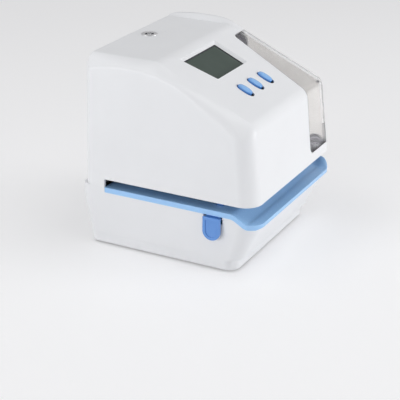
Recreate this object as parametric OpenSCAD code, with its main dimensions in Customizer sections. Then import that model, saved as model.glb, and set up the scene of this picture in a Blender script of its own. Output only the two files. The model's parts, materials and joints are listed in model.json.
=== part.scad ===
// Desk date and time stamp machine: a base with a paper table, a print unit
// held over the table like a stapler, and a top cover that lifts off.
// X runs to the operator's right, the front is -Y and the desk is Z = 0.
// The origin is the middle of the footprint.

/* [Casing] */
// Width of the casing at the paper slot
body_w = 165; // [150:1:180]
// Depth from the front lip of the table to the back of the rear panel
body_d = 177; // [170:1:190]
// Height of the flat top above the desk
top_z = 177.5; // [170:1:190]
// Thickness of the moulded walls
wall = 2.5; // [2:0.1:3]
// Height of the base above its feet, up to the seam
base_h = 57.2; // [52:0.2:60]
// Height that the rubber feet raise the base
foot_h = 2; // [1.5:0.5:4]
// Diameter of a rubber foot
foot_d = 15; // [10:1:20]
// Open gap of the seams between the casing parts
seam_gap = 0.3; // [0.2:0.1:0.6]

/* [Top cover] */
// Distance that the table's lip stands in front of the cover
lip_out = 4; // [2:0.5:6]
// Distance that the rear panel stands behind the cover
rear_out = 6.5; // [4:0.5:10]
// Depth of the flat top, from the back to the bend
flat_d = 66.7; // [60:0.5:75]
// Angle of the sloping panel below the horizontal
slope_a = 24.6; // [20:0.2:28]
// Backward lean of the front face, per millimetre of height
front_lean = 0.107; // [0.05:0.005:0.15]
// Inward draft of the side faces, per millimetre of height
side_draft = 0.032; // [0.01:0.002:0.05]
// Radius of the upright corner at the front left
corner_fl = 16; // [8:1:20]
// Radius of the upright corner at the front right
corner_fr = 4; // [3:0.5:8]
// Radius of the upright corners at the back
corner_b = 7; // [3.5:0.5:12]
// Radius of the bend between the slope and the front face
bend_r = 13; // [8:1:18]
// Width of the rounded shoulder along the left of the top
shoulder_w = 11.7; // [6:0.5:16]
// Radius of the arch that edges the left face
arch_r = 150; // [120:5:200]
// Drop of the arch's crown below the flat top
arch_drop = 6.4; // [4:0.2:10]
// Distance of the arch's crown in front of the cover's back
arch_back = 42.6; // [30:1:55]
// Width of the raised rail along the right of the top
ridge_w = 9; // [6:0.5:14]
// Height of the raised rail above the flat top
ridge_h = 4.7; // [2:0.1:7]
// Height of the rail above the flat top at the back
ridge_back_h = 1; // [0:0.2:2]
// Distance of the rail's crest in front of the back
ridge_crest = 32; // [20:1:40]
// Distance of the rear panel's top below the flat top
panel_drop = 26; // [25:0.5:34]

/* [Window] */
// Distance of the window's upper end below the bend
win_top = 13; // [8:1:20]
// Width of the window at its upper end
win_w_top = 25; // [20:1:30]
// Width of the window on the front face
win_w = 39; // [30:1:45]
// Height of the window's lower edge above the slot
win_sill = 9.2; // [6:0.2:14]
// Radius of the window's inner corners
win_r = 6; // [3:0.5:9]
// Depth of the window's flange down the right face
win_flange = 14; // [8:1:20]
// Height above the slot where the flange ends
win_flange_z = 26; // [20:1:40]
// Gap round the window
win_gap = 0.15; // [0.1:0.05:0.3]

/* [Display] */
// Width of the display opening halfway down
lcd_w = 60; // [50:1:62]
// Length of the display opening down the slope
lcd_l = 33; // [26:1:34]
// How much wider the opening is at its upper edge than at its lower edge
lcd_slant = 9; // [0:0.5:10]
// Distance of the opening's upper edge below the bend
lcd_top = 10.5; // [8:0.5:14]
// Distance of the opening's middle left of the centre line
lcd_left = 8; // [0:0.5:10]
// Width of the opening's bevel along its upper and right edges
lcd_bevel = 2.5; // [1:0.1:2.6]
// Width of the opening's bevel along its lower and left edges
lcd_rim = 0.4; // [0.2:0.1:0.8]
// Depth of the display glass below the slope
lcd_deep = 3.1; // [3:0.1:4]
// Width of the dark frame that shows between the opening and the glass
lcd_frame = 0.8; // [0.2:0.1:1.5]

/* [Buttons] */
// Length of a button down the slope
btn_l = 14.4; // [12:0.2:16]
// Width of a button
btn_w = 8.2; // [6:0.2:9]
// Spacing of the buttons
btn_pitch = 20.6; // [19:0.2:23]
// Distance of the button row below the bend
btn_s = 66.7; // [64:0.5:70]
// Distance of the middle button left of the centre line
btn_left = 2.4; // [0:0.2:5]
// Height of a button above the slope
btn_h = 2.2; // [1.5:0.1:3]
// Travel of a button
btn_travel = 1.2; // [0.8:0.1:1.5]
// Gap round a button in the cover
btn_gap = 0.5; // [0.4:0.1:0.8]

/* [Paper slot] */
// Height of the paper slot at the side
slot_h = 7.7; // [6:0.1:9]
// Step of the table's top below the seam
table_step = 0.4; // [0.2:0.1:1]
// Depth of the slot from the front lip
slot_d = 150.3; // [140:0.5:156]
// Thickness of the table
table_t = 4.7; // [3.5:0.1:6]
// Drop of the table's front lip
table_drop = 7; // [4:0.5:9]
// Length of the curved stretch that leads down to the front lip
table_curve = 17; // [12:1:24]
// Distance of that stretch behind the front lip
table_curve_at = 10; // [6:1:14]
// Radius of the table's front left corner
table_r = 13; // [8:1:16]
// Distance of the table's right edge inside the casing
table_in = 4.5; // [3:0.5:6]

/* [Base] */
// Inset of the base's foot at each side
base_in = 6.7; // [4:0.1:9]
// Distance of the plinth behind the front lip
plinth_back = 23.9; // [20:0.5:28]
// Height of the plinth
plinth_h = 8.5; // [6:0.5:12]
// Distance that the flare's foot stands in front of the plinth
flare_foot = 4.6; // [2:0.2:6]
// Radius of the base's lower corners
plinth_r = 11; // [6:1:14]
// Thickness of the steel bottom plate
bottom_t = 1.5; // [1:0.1:2.5]
// Diameter of the bottom plate's screws
bottom_screw_d = 3; // [2.5:0.5:4]

/* [Paper stop lever] */
// Width of the blue tab
tab_w = 16.7; // [12:0.1:20]
// Height of the blue tab
tab_h = 20.9; // [18:0.1:24]
// Thickness of the blue tab
tab_t = 2.2; // [1.6:0.1:2.6]
// Distance of the tab's middle behind the front lip
tab_y = 43.1; // [38:0.5:60]
// Diameter of the lever's pin
tab_pin_d = 2; // [1.5:0.1:2.5]
// Height of the stop finger above the table
finger_h = 3.7; // [2.5:0.1:4]

/* [Print unit] */
// Diameter of the guide shafts
shaft_d = 6; // [5:0.5:8]
// Spacing of the guide shafts
shaft_pitch = 42; // [40:1:44]
// Height of the guide shafts above the upper deck
shaft_rise = 15.5; // [14:0.5:17]
// Distance of the print line behind the front lip
print_line = 58.5; // [56:0.5:60]
// Distance of the side plates inside the casing's sides
side_in = 8.5; // [7:0.5:9]
// Width of the carriage
carriage_w = 34; // [28:1:36]
// Travel of the carriage to each side
carriage_travel = 36; // [30:1:38]
// Diameter of the print head's body
head_d = 26; // [20:1:28]
// Radius of the belt pulleys
pulley_r = 7; // [6:0.5:7.5]
// Distance between the belt pulleys
pulley_span = 108; // [104:1:112]
// Width of the drive belt
belt_w = 6; // [4:0.5:6]
// Thickness of the drive belt
belt_t = 1; // [0.8:0.1:1.4]
// Thickness of the steel plates
plate_t = 1.5; // [1:0.1:2]
// Radial clearance of shafts in their bores
run_gap = 0.05; // [0.03:0.01:0.08]
// Clearance between parts that move past each other
free_gap = 0.4; // [0.3:0.05:0.6]

/* [Lock] */
// Diameter of the lock barrel
lock_d = 8; // [6:0.5:10]
// Diameter of the lock's sleeve
lock_sleeve_d = 11; // [10:0.5:14]
// Distance of the lock behind the bend
lock_back = 48.5; // [44:0.5:52]
// Distance of the lock right of the centre line
lock_x = 3.6; // [-10:0.2:10]
// Length of the lock below the top
lock_l = 22; // [18:0.5:24]

/* [Hidden] */

// Smoothness of plain round parts, and of round parts inside a hull
fine = 48;
hull_fn = 32;
// A cut runs past its face by this much
over = 1;
// Thickness of the thin slabs that a hull spans
slab = 0.01;

// Colours
c_body = [0.93, 0.94, 0.96];
c_blue = [0.42, 0.64, 0.92];
c_steel = [0.66, 0.68, 0.7];
c_dark = [0.2, 0.2, 0.23];
c_brass = [0.8, 0.65, 0.35];
c_board = [0.1, 0.4, 0.25];
c_beige = [0.83, 0.81, 0.78];
c_rubber = [0.12, 0.12, 0.13];

// Casing
half_w = body_w / 2;
lip_y = -body_d / 2;
rear_y = body_d / 2;
cover_front = lip_y + lip_out;
cover_back = rear_y - rear_out;
seam_z = foot_h + base_h;
table_z = seam_z - table_step;
slot_z = table_z + slot_h;
slot_back = lip_y + slot_d;
bend_y = cover_back - flat_d;
bend_z = top_z;

// Cuts that run up past the base end here
past_base = seam_z + 20;

function half_at(z) = half_w - side_draft * (z - slot_z);
function front_at(z) = cover_front + front_lean * (z - slot_z);
lean_a = atan(front_lean);

// Where two sloping lines meet once each is moved inwards by its own depth
function meet(p1, n1, d1, p2, n2, d2) =
  let (k = n1[0] * n2[1] - n1[1] * n2[0],
       a1 = n1 * p1 - d1,
       a2 = n2 * p2 - d2)
  [(a1 * n2[1] - a2 * n1[1]) / k, (n1[0] * a2 - n2[0] * a1) / k];

n_slope = [-sin(slope_a), cos(slope_a)];
n_front = [-cos(lean_a), sin(lean_a)];
p_slope = [bend_y, bend_z];
p_front = [cover_front, slot_z];
bend_c = meet(p_slope, n_slope, bend_r, p_front, n_front, bend_r);
slope_l = (bend_y - bend_c[0] - bend_r * n_slope[0]) / cos(slope_a);

// Frame on the sloping panel: local -Y runs down the slope, local Z points out
module on_slope() {
  translate([0, bend_y, bend_z]) rotate([slope_a, 0, 0]) children();
}

// Frame on the front face: local Y runs up the face, local Z points out
module on_front() {
  translate([0, cover_front, slot_z]) rotate([90 - lean_a, 0, 0]) children();
}

// Flat rectangle with its own radius at each corner: front left, front right,
// back right, back left
module plan(x0, x1, y0, y1, r) {
  polygon(concat(
    arc(x0 + r[0], y0 + r[0], r[0], 180, 270),
    arc(x1 - r[1], y0 + r[1], r[1], 270, 360),
    arc(x1 - r[2], y1 - r[2], r[2], 0, 90),
    arc(x0 + r[3], y1 - r[3], r[3], 90, 180)));
}
function arc(cx, cy, r, a0, a1, n = 8) =
  [for (i = [0 : n]) let (a = a0 + (a1 - a0) * i / n) [cx + r * cos(a), cy + r * sin(a)]];
module oval(l, w, n = 32) {
  polygon([for (i = [0 : n - 1]) [w / 2 * cos(360 * i / n), l / 2 * sin(360 * i / n)]]);
}

// Side view, drawn as [y, z], run along X from x0 to x1
module along_x(x0, x1) {
  translate([x0, 0, 0]) rotate([90, 0, 90]) linear_extrude(x1 - x0) children();
}
module rod_x(x0, x1, y, z, d) {
  translate([x0, y, z]) rotate([0, 90, 0]) cylinder(h = x1 - x0, d = d, $fn = fine);
}
module rod_y(y0, y1, x, z, d) {
  translate([x, y0, z]) rotate([-90, 0, 0]) cylinder(h = y1 - y0, d = d, $fn = fine);
}
module box(x0, x1, y0, y1, z0, z1) {
  translate([x0, y0, z0]) cube([x1 - x0, y1 - y0, z1 - z0]);
}

// Open coil of round wire, standing on Z = 0
module coil(d, wire, h, turns) {
  sides = 6;
  per_turn = 12;
  rings = turns * per_turn;
  rise = h - wire;
  points = [for (i = [0 : rings], k = [0 : sides - 1])
    let (a = 360 * i / per_turn, b = 360 * k / sides, r = d / 2 - wire / 2 + wire / 2 * cos(b))
    [r * cos(a), r * sin(a), wire / 2 + rise * i / rings + wire / 2 * sin(b)]];
  sheets = [for (i = [0 : rings - 1], k = [0 : sides - 1])
    let (a = i * sides + k, b = i * sides + (k + 1) % sides)
    each [[a, b, b + sides], [a, b + sides, a + sides]]];
  cap0 = [for (k = [1 : sides - 2]) [0, k + 1, k]];
  cap1 = [for (k = [1 : sides - 2]) rings * sides * [1, 1, 1] + [0, k, k + 1]];
  polyhedron(points, concat([for (f = sheets) [f[0], f[2], f[1]]],
    [for (f = cap0) [f[0], f[2], f[1]]], [for (f = cap1) [f[0], f[2], f[1]]]));
}

/* ---- top cover ---- */
arch_y = cover_back - arch_back;
arch_z = top_z - arch_drop;
arch_x = half_at(arch_z);
arch_front = -47;
arch_n = 12;

// Outside of the cover without its rail, moved inwards by t
module cover_form(t) {
  foot_z = seam_z - 5;
  hw = half_at(foot_z);
  fy = front_at(foot_z);
  bend_w = half_at(bend_c[1]);
  flat_y = bend_y + t * tan(slope_a / 2);
  hull() {
    translate([-hw + corner_fl, fy + corner_fl, foot_z])
      cylinder(h = slab, r = corner_fl - t, $fn = hull_fn);
    translate([hw - corner_fr, fy + corner_fr, foot_z])
      cylinder(h = slab, r = corner_fr - t, $fn = hull_fn);
    for (sx = [-1, 1]) translate([sx * (hw - corner_b), cover_back - corner_b, foot_z])
      cylinder(h = slab, r = corner_b - t, $fn = hull_fn);
    translate([-bend_w + bend_r, bend_c[0], bend_c[1]]) sphere(r = bend_r - t, $fn = hull_fn);
    translate([0, bend_c[0], bend_c[1]]) rotate([0, 90, 0])
      cylinder(h = bend_w - t, r = bend_r - t, $fn = hull_fn);
    box(-half_at(top_z) + shoulder_w, half_at(top_z) - t, flat_y, cover_back - t,
      top_z - t - slab, top_z - t);
    along_x(-arch_x + t, -arch_x + t + slab) polygon([for (i = [0 : arch_n])
      let (y = arch_front + (cover_back - t - arch_front) * i / arch_n)
      [y, arch_z - arch_r + sqrt(pow(arch_r - t, 2) - pow(y - arch_y, 2))]]);
  }
}

// Raised rail along the right of the flat top
module cover_rail() {
  ridge_z = top_z + ridge_h;
  hw = half_at(top_z);
  root = 4;
  front = (ridge_h + root) / tan(slope_a);
  hull() {
    box(hw - ridge_w, hw - ridge_w + slab, bend_y, cover_back, top_z - wall, top_z);
    along_x(hw - 1.6, hw) polygon([[bend_y - root / tan(slope_a), top_z - root],
      [bend_y - root / tan(slope_a) + front - 6, ridge_z - 2.5],
      [bend_y - root / tan(slope_a) + front + 1, ridge_z - 0.4],
      [cover_back - ridge_crest, ridge_z], [cover_back, top_z + ridge_back_h],
      [cover_back, top_z - root]]);
  }
}

// Space that the window takes out of the cover, larger all round by g
module window_zone(g) {
  top_x = half_at(top_z) - win_w_top;
  low_x = half_at(slot_z) - win_w - 2;
  past = half_w + 10;
  side = half_at(slot_z) - wall - 0.5;
  on_slope() translate([0, 0, -win_flange - g]) linear_extrude(win_flange + 20)
    polygon(concat(
      arc(top_x - g + win_r, -win_top + g - win_r, win_r, 180, 90),
      [[past, -win_top + g], [past, -slope_l - 2 * bend_r],
       [low_x - g, -slope_l - 2 * bend_r], [low_x - g, -slope_l]]));
  on_front() translate([0, 0, -win_flange - g]) linear_extrude(win_flange + 10)
    polygon(concat(
      arc(low_x - g + win_r, win_sill - g + win_r, win_r, 180, 270),
      [[side + g, win_sill - g], [side + g, win_flange_z - g], [past, win_flange_z - g],
       [past, bend_c[1] - slot_z + 3], [low_x - g, bend_c[1] - slot_z + 3]]));
}

lcd_y = -(lcd_top + lcd_l / 2);
// The display's outline with its left edge aslant, larger all round by g, and by more
// above and to the right
module lcd_plan(g, more = 0) {
  above = lcd_l / 2 + g + more;
  right = lcd_w / 2 + g + more;
  translate([-lcd_left, lcd_y]) polygon([
    [-(lcd_w + lcd_slant) / 2 - g, above], [-(lcd_w - lcd_slant) / 2 - g, -lcd_l / 2 - g],
    [right, -lcd_l / 2 - g], [right, above]]);
}
module lcd_cut() {
  on_slope() {
    translate([0, 0, -wall * 2]) linear_extrude(wall * 3) lcd_plan(0);
    hull() {
      translate([0, 0, -lcd_bevel]) linear_extrude(slab) lcd_plan(0);
      translate([0, 0, 0.05]) linear_extrude(slab) lcd_plan(lcd_rim, lcd_bevel);
    }
  }
}

// Hole for a button. Its front end is upright, so that the cover lifts off straight
module button_cut(x) {
  deep = wall + over;
  on_slope() translate([x, -btn_s, 0]) hull() {
    for (p = [[0, btn_h], [0, -deep], [-(btn_h + deep) * tan(slope_a), -deep]])
      translate([0, p[0], p[1]]) linear_extrude(slab)
        oval(btn_l + 2 * btn_gap, btn_w + 2 * btn_gap);
  }
}
function btn_x(i) = -btn_left + i * btn_pitch;

lock_y = bend_y + lock_back;
rear_notch_w = 61;
panel_top = top_z - panel_drop;

module top_cover() {
  color(c_body) difference() {
    union() {
      difference() {
        cover_form(0);
        cover_form(wall);
      }
      intersection() {
        cover_rail();
        box(0, half_w, -half_w, cover_back, top_z - wall, top_z + 10);
      }
    }
    box(-100, 100, -100, slot_back, 0, slot_z);
    box(-100, 100, -100, 100, 0, seam_z + seam_gap);
    box(-rear_notch_w, rear_notch_w, cover_back - corner_b - over, 100, 0, panel_top + 1);
    window_zone(win_gap);
    lcd_cut();
    for (i = [-1 : 1]) button_cut(btn_x(i));
    translate([lock_x, lock_y, top_z - 20]) cylinder(h = 30, d = lock_sleeve_d + 0.1, $fn = fine);
  }
}

module window() {
  color([0.75, 0.78, 0.82, 0.35]) intersection() {
    difference() {
      cover_form(0);
      cover_form(wall);
    }
    window_zone(0);
  }
}

/* ---- lock ---- */
lock_flange_h = 0.8;
cam_t = 2;
cam_l = 15;
nut_h = 3;
module lock_sleeve() {
  color(c_steel) translate([lock_x, lock_y, 0]) difference() {
    union() {
      translate([0, 0, top_z - lock_l]) cylinder(h = lock_l, d = lock_sleeve_d, $fn = fine);
      translate([0, 0, top_z]) cylinder(h = lock_flange_h, d = lock_sleeve_d + 4, $fn = fine);
    }
    translate([0, 0, top_z - lock_l - over])
      cylinder(h = lock_l + lock_flange_h + 2 * over, d = lock_d + 2 * run_gap, $fn = fine);
  }
}
module lock_nut() {
  color(c_brass) translate([lock_x, lock_y, top_z - wall - nut_h]) difference() {
    cylinder(h = nut_h, d = lock_sleeve_d + 6, $fn = 6);
    translate([0, 0, -over]) cylinder(h = nut_h + 2 * over, d = lock_sleeve_d + 0.1, $fn = fine);
  }
}
module lock_barrel() {
  color(c_steel) translate([lock_x, lock_y, 0]) difference() {
    translate([0, 0, top_z - lock_l - cam_t - 0.3])
      cylinder(h = lock_l + lock_flange_h + cam_t + 0.3, d = lock_d, $fn = fine);
    translate([-lock_d * 0.3, -0.6, top_z + lock_flange_h - 5])
      cube([lock_d * 0.6, 1.2, 6]);
  }
}
module lock_cam() {
  color(c_steel) translate([lock_x, lock_y, top_z - lock_l - cam_t - 0.3]) difference() {
    union() {
      cylinder(h = cam_t, d = lock_d + 4, $fn = fine);
      translate([-cam_l, -3.5, 0]) cube([cam_l, 7, cam_t]);
    }
    translate([0, 0, -over]) cylinder(h = cam_t + 2 * over, d = lock_d, $fn = fine);
  }
}
cam_z = top_z - lock_l - cam_t - 0.3;
frame_top = panel_top - 1.5;
catch_over = 1;
module lock_catch() {
  // The cam's tip swings under the catch's lip, in front of the lock
  foot_z = frame_top + plate_t;
  lip_z = cam_z + cam_t + catch_over;
  y = lock_y - cam_l - 1;
  color(c_steel) along_x(lock_x - 5, lock_x + 5) polygon([
    [y - 8, foot_z], [y, foot_z], [y, lip_z], [y + 5, lip_z], [y + 5, lip_z + plate_t],
    [y - plate_t, lip_z + plate_t], [y - plate_t, foot_z + plate_t],
    [y - 8, foot_z + plate_t]]);
}

/* ---- display and buttons ---- */
bracket_h = 8;
guide_h = 3.6;
bracket_l = 86;
bracket_x0 = -lcd_left - lcd_w / 2 - 4;
bracket_x1 = -lcd_left + lcd_w / 2 + 8;
leg_top = bend_z - 11;
module display_bracket() {
  leg_y = bend_y + 4;
  color(c_steel) difference() {
    union() {
      on_slope() translate([bracket_x0, -bracket_l, -bracket_h - plate_t])
        cube([bracket_x1 - bracket_x0, bracket_l, plate_t]);
      box(bracket_x0, bracket_x1, leg_y - plate_t, leg_y, frame_top + plate_t, leg_top + 2.6);
      box(bracket_x0, bracket_x1, leg_y - plate_t, leg_y + 14,
        frame_top + plate_t, frame_top + 2 * plate_t);
      for (x = [bracket_x0, bracket_x1 - plate_t]) along_x(x, x + plate_t)
        polygon([[leg_y - plate_t, frame_top + plate_t], [leg_y, leg_top + 1],
          [bend_y - 38 * cos(slope_a), leg_top - 36 * sin(slope_a)]]);
      // Guide plate for the buttons, on two side walls
      on_slope() for (y = [-btn_s - 12, -btn_s + 10.5])
        translate([bracket_x0, y, -bracket_h])
          cube([bracket_x1 - bracket_x0, plate_t, guide_h]);
      on_slope() translate([bracket_x0, -btn_s - 12, -bracket_h + guide_h])
        cube([bracket_x1 - bracket_x0, 22.5 + plate_t, 1.2]);
    }
    for (i = [-1 : 1]) on_slope() translate([btn_x(i), -btn_s, -30])
      linear_extrude(40) oval(btn_l + 2 * free_gap, btn_w + 2 * free_gap);
  }
}
glass_t = 1.2;
module_edge = 4;
module lcd_module() {
  color(c_dark) on_slope() difference() {
    translate([-lcd_left - (lcd_w + lcd_slant) / 2 - module_edge,
      lcd_y - lcd_l / 2 - module_edge, -bracket_h])
      cube([lcd_w + lcd_slant / 2 + 2 * module_edge, lcd_l + 2 * module_edge,
        bracket_h - lcd_deep]);
    translate([0, 0, -lcd_deep - glass_t]) linear_extrude(5) lcd_plan(-lcd_frame);
  }
}
module lcd_glass() {
  color([0.33, 0.37, 0.34]) on_slope() translate([0, 0, -lcd_deep - glass_t])
    linear_extrude(glass_t) lcd_plan(-lcd_frame - 0.1);
}
board_h = bracket_h + 8;
module button_board() {
  color(c_board) on_slope() {
    translate([bracket_x0 + 2, -btn_s - 10, -board_h - 1.6])
      cube([bracket_x1 - bracket_x0 - 4, 20, 1.6]);
    for (x = [bracket_x0 + 2, bracket_x1 - 7]) translate([x, -btn_s - 2.5, -board_h])
      cube([5, 5, board_h - bracket_h - plate_t]);
  }
}
// The spring stands round the switch and passes through the bracket's hole
spring_wire = 0.6;
spring_d = btn_w + 2 * free_gap - 0.6;
switch_h = 3.5;
switch_w = (spring_d - 2 * spring_wire) / sqrt(2) - 0.05;
module button_switches() {
  color(c_dark) on_slope() for (i = [-1 : 1])
    translate([btn_x(i) - switch_w / 2, -btn_s - switch_w / 2, -board_h])
      cube([switch_w, switch_w, switch_h]);
}
flange_h = bracket_h - guide_h + free_gap;
flange_t = 1.2;
module button_springs() {
  color(c_steel) on_slope() for (i = [-1 : 1]) translate([btn_x(i), -btn_s, -board_h])
    coil(spring_d, spring_wire, board_h - flange_h - flange_t - 0.2, 4);
}
module button(i) {
  color(c_blue) on_slope() translate([btn_x(i), -btn_s, 0]) {
    difference() {
      translate([0, 0, -flange_h]) linear_extrude(flange_h + btn_h) oval(btn_l, btn_w);
      // The cap is shaved to a shallow dome
      dome_r = 24;
      difference() {
        translate([-20, -20, btn_h - 3]) cube([40, 40, 6]);
        translate([0, 0, btn_h - dome_r]) sphere(r = dome_r, $fn = 64);
      }
    }
    translate([0, 0, -flange_h - flange_t]) linear_extrude(flange_t)
      oval(btn_l + 2, btn_w + 3);
    // Stem, which reaches the switch at the end of the travel
    stem_foot = -board_h + switch_h + btn_travel + 0.15;
    translate([0, 0, stem_foot]) cylinder(h = -flange_h - stem_foot, d = 4, $fn = fine);
  }
}
module left_button() { button(-1); }
module middle_button() { button(0); }
module right_button() { button(1); }

/* ---- base ---- */
base_top = table_z - table_t;
plinth_y = lip_y + plinth_back;
plinth_half = half_w - base_in;
plinth_b = cover_back - 1;
base_b = cover_back + 3.5;
flare_z = foot_h + plinth_h + 2;
function base_half(z) = plinth_half + base_in * (z - foot_h) / (base_top - foot_h);

// Outline corners of the base at one height, moved inwards by t
module base_ring(z, hw, y0, y1, r, t) {
  for (sx = [-1, 1]) {
    translate([sx * (hw - r), y0 + r, z]) cylinder(h = slab, r = r - t, $fn = hull_fn);
    translate([sx * (hw - corner_b), y1 - corner_b, z])
      cylinder(h = slab, r = corner_b - t, $fn = hull_fn);
  }
}
module base_form(t) {
  top = seam_z + over;
  hull() {
    base_ring(foot_h, plinth_half, plinth_y, plinth_b, plinth_r, t);
    base_ring(foot_h + plinth_h, base_half(foot_h + plinth_h), plinth_y, plinth_b,
      plinth_r, t);
  }
  hull() {
    base_ring(foot_h + plinth_h, base_half(foot_h + plinth_h), plinth_y, plinth_b,
      plinth_r, t);
    base_ring(flare_z, base_half(flare_z), plinth_y - flare_foot, plinth_b, plinth_r, t);
    base_ring(base_top - 9, base_half(base_top - 9), cover_front + 0.5, base_b,
      corner_fl, t);
    base_ring(top, half_w, cover_front, base_b, corner_fl, t);
  }
}

// Side view of the table's underside line, as far as z = far
function ease(t) = let (u = min(1, max(0, t))) u * u * (3 - 2 * u);
curve_y0 = lip_y + table_curve_at;
curve_n = 10;
function table_line(z) = concat([[lip_y - over, z - table_drop]],
  [for (i = [0 : curve_n]) let (t = i / curve_n)
    [curve_y0 + table_curve * t, z - table_drop * (1 - ease(t))]]);

boss_d = 9;
boss_x = plinth_half - wall - boss_d / 2 + 1;
boss_y = [plinth_y + 10, plinth_b - 10];
boss_z = foot_h + 0.5 + bottom_t;
pin_x = -half_w + 2.9;
pin_z = seam_z - 8.2;
tab_mid = lip_y + tab_y;
notch_w = tab_w + 1.5;
ear_w = 3;
spring_z = pin_z - 11;
jack_x = 40;
jack_z = foot_h + 26;
jack_d = 9;

module base_shell() {
  color(c_body) difference() {
    base_form(0);
    difference() {
      base_form(wall);
      // Corner bosses for the bottom screws
      for (sx = [-1, 1], y = boss_y) translate([sx * boss_x, y, boss_z])
        cylinder(h = 22, d = boss_d, $fn = fine);
      // Ears that hold the lever's pin
      for (s = [-1, 1]) translate([pin_x - 5, tab_mid + s * (notch_w / 2 + ear_w / 2)
        - ear_w / 2, pin_z - 5]) cube([7.5, ear_w, 8]);
      // Seat of the lever's spring
      translate([-half_w + 4, tab_mid - 4, spring_z - 3]) cube([14, 8, 3]);
    }
    box(-100, 100, -100, 100, foot_h - 2, foot_h);
    // The table lies on the base, and the back is cut at the seam
    along_x(-100, 100) polygon(concat(table_line(base_top),
      [[slot_back + seam_gap, base_top], [slot_back + seam_gap, past_base],
      [lip_y - over, past_base]]));
    box(-100, 100, 0, 100, seam_z, past_base);
    box(-rear_notch_w, rear_notch_w, base_b - corner_b - over, 100, seam_z - 6,
      past_base);
    for (sx = [-1, 1], y = boss_y) translate([sx * boss_x, y, foot_h])
      cylinder(h = 16, d = bottom_screw_d, $fn = fine);
    // Notch and pin bore of the stop lever
    box(-100, pin_x + 4, tab_mid - notch_w / 2, tab_mid + notch_w / 2, pin_z - 4.4,
      past_base);
    rod_y(tab_mid - notch_w / 2 - ear_w - over, tab_mid + notch_w / 2 + ear_w + over,
      pin_x, pin_z, tab_pin_d);
    rod_y(cover_back - 12, cover_back + 12, jack_x, jack_z, jack_d + 0.2);
  }
}

plate_in = wall + 0.4;
module bottom_plate() {
  color(c_steel) difference() {
    translate([0, 0, foot_h + 0.5]) linear_extrude(bottom_t)
      plan(-plinth_half + plate_in, plinth_half - plate_in, plinth_y + plate_in,
        plinth_b - plate_in, [plinth_r - plate_in, plinth_r - plate_in, corner_b - plate_in,
        corner_b - plate_in]);
    for (sx = [-1, 1], y = boss_y) translate([sx * boss_x, y, 0])
      cylinder(h = 20, d = bottom_screw_d + 0.4, $fn = fine);
  }
}
foot_x = plinth_half - 22;
module rubber_feet() {
  color(c_rubber) for (sx = [-1, 1], y = [plinth_y + 14, plinth_b - 14])
    translate([sx * foot_x, y, 0]) cylinder(h = foot_h + 0.5, d = foot_d, $fn = fine);
}
module bottom_screws() {
  color(c_steel) for (sx = [-1, 1], y = boss_y) translate([sx * boss_x, y, 0]) {
    translate([0, 0, foot_h - 1.2]) cylinder(h = 1.7, d = 5.6, $fn = fine);
    translate([0, 0, foot_h]) cylinder(h = 12, d = bottom_screw_d - 0.1, $fn = fine);
  }
}

/* ---- paper table ---- */
platen_w = 2 * carriage_travel + carriage_w + 18;
platen_l = 10;
print_y = lip_y + print_line;
finger_x = pin_x + 12.6;
module paper_table() {
  right = half_w - table_in;
  color(c_blue) difference() {
    intersection() {
      along_x(-half_w, right) polygon(concat(table_line(base_top),
        [[slot_back, base_top], [slot_back, table_z]],
        [for (i = [len(table_line(0)) - 1 : -1 : 0]) table_line(table_z)[i]]));
      linear_extrude(past_base) plan(-half_w, right, lip_y, slot_back, [table_r, 3, 0.5, 0.5]);
    }
    // Seat of the platen and slot of the stop finger
    translate([-platen_w / 2 - 0.1, print_y - platen_l / 2 - 0.1, table_z - 3])
      cube([platen_w + 0.2, platen_l + 0.2, 5]);
    box(finger_x - 2.6, finger_x + 5.4, tab_mid - 3.8, tab_mid + 3.8, 0, past_base);
  }
}
module platen() {
  color(c_rubber) translate([-platen_w / 2, print_y - platen_l / 2, table_z - 3])
    cube([platen_w, platen_l, 3]);
}

/* ---- frame ---- */
frame_y = slot_back + 8.2;
frame_x = 58;
floor_z = foot_h + 0.5 + bottom_t;
deck_z = slot_z + 0.5;
deck_top = deck_z + plate_t;
flange_y = bend_y + 1;
jack_clear = 12;
module rear_frame() {
  color(c_steel) difference() {
    union() {
      along_x(-frame_x, frame_x) polygon([
        [frame_y - 22, floor_z], [frame_y + plate_t, floor_z],
        [frame_y + plate_t, frame_top + plate_t], [flange_y, frame_top + plate_t],
        [flange_y, frame_top], [frame_y, frame_top],
        [frame_y, floor_z + plate_t], [frame_y - 22, floor_z + plate_t]]);
      // Bent side cheeks
      for (x = [-frame_x, frame_x - plate_t]) box(x, x + plate_t, slot_back + 0.6, frame_y + 1,
        floor_z, frame_top + plate_t);
    }
    translate([jack_x, frame_y - 5, jack_z]) rotate([-90, 0, 0])
      cylinder(h = 20, d = jack_clear, $fn = fine);
  }
}
deck_half = half_w - wall - 2;
aperture_w = platen_w + 11;
aperture_l = 16;
sensor_x = 20;
sensor_y = slot_back - 12;
cable_x = -30;
cable_w = 14;
cable_t = 0.8;
lamp_x = 30;
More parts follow.
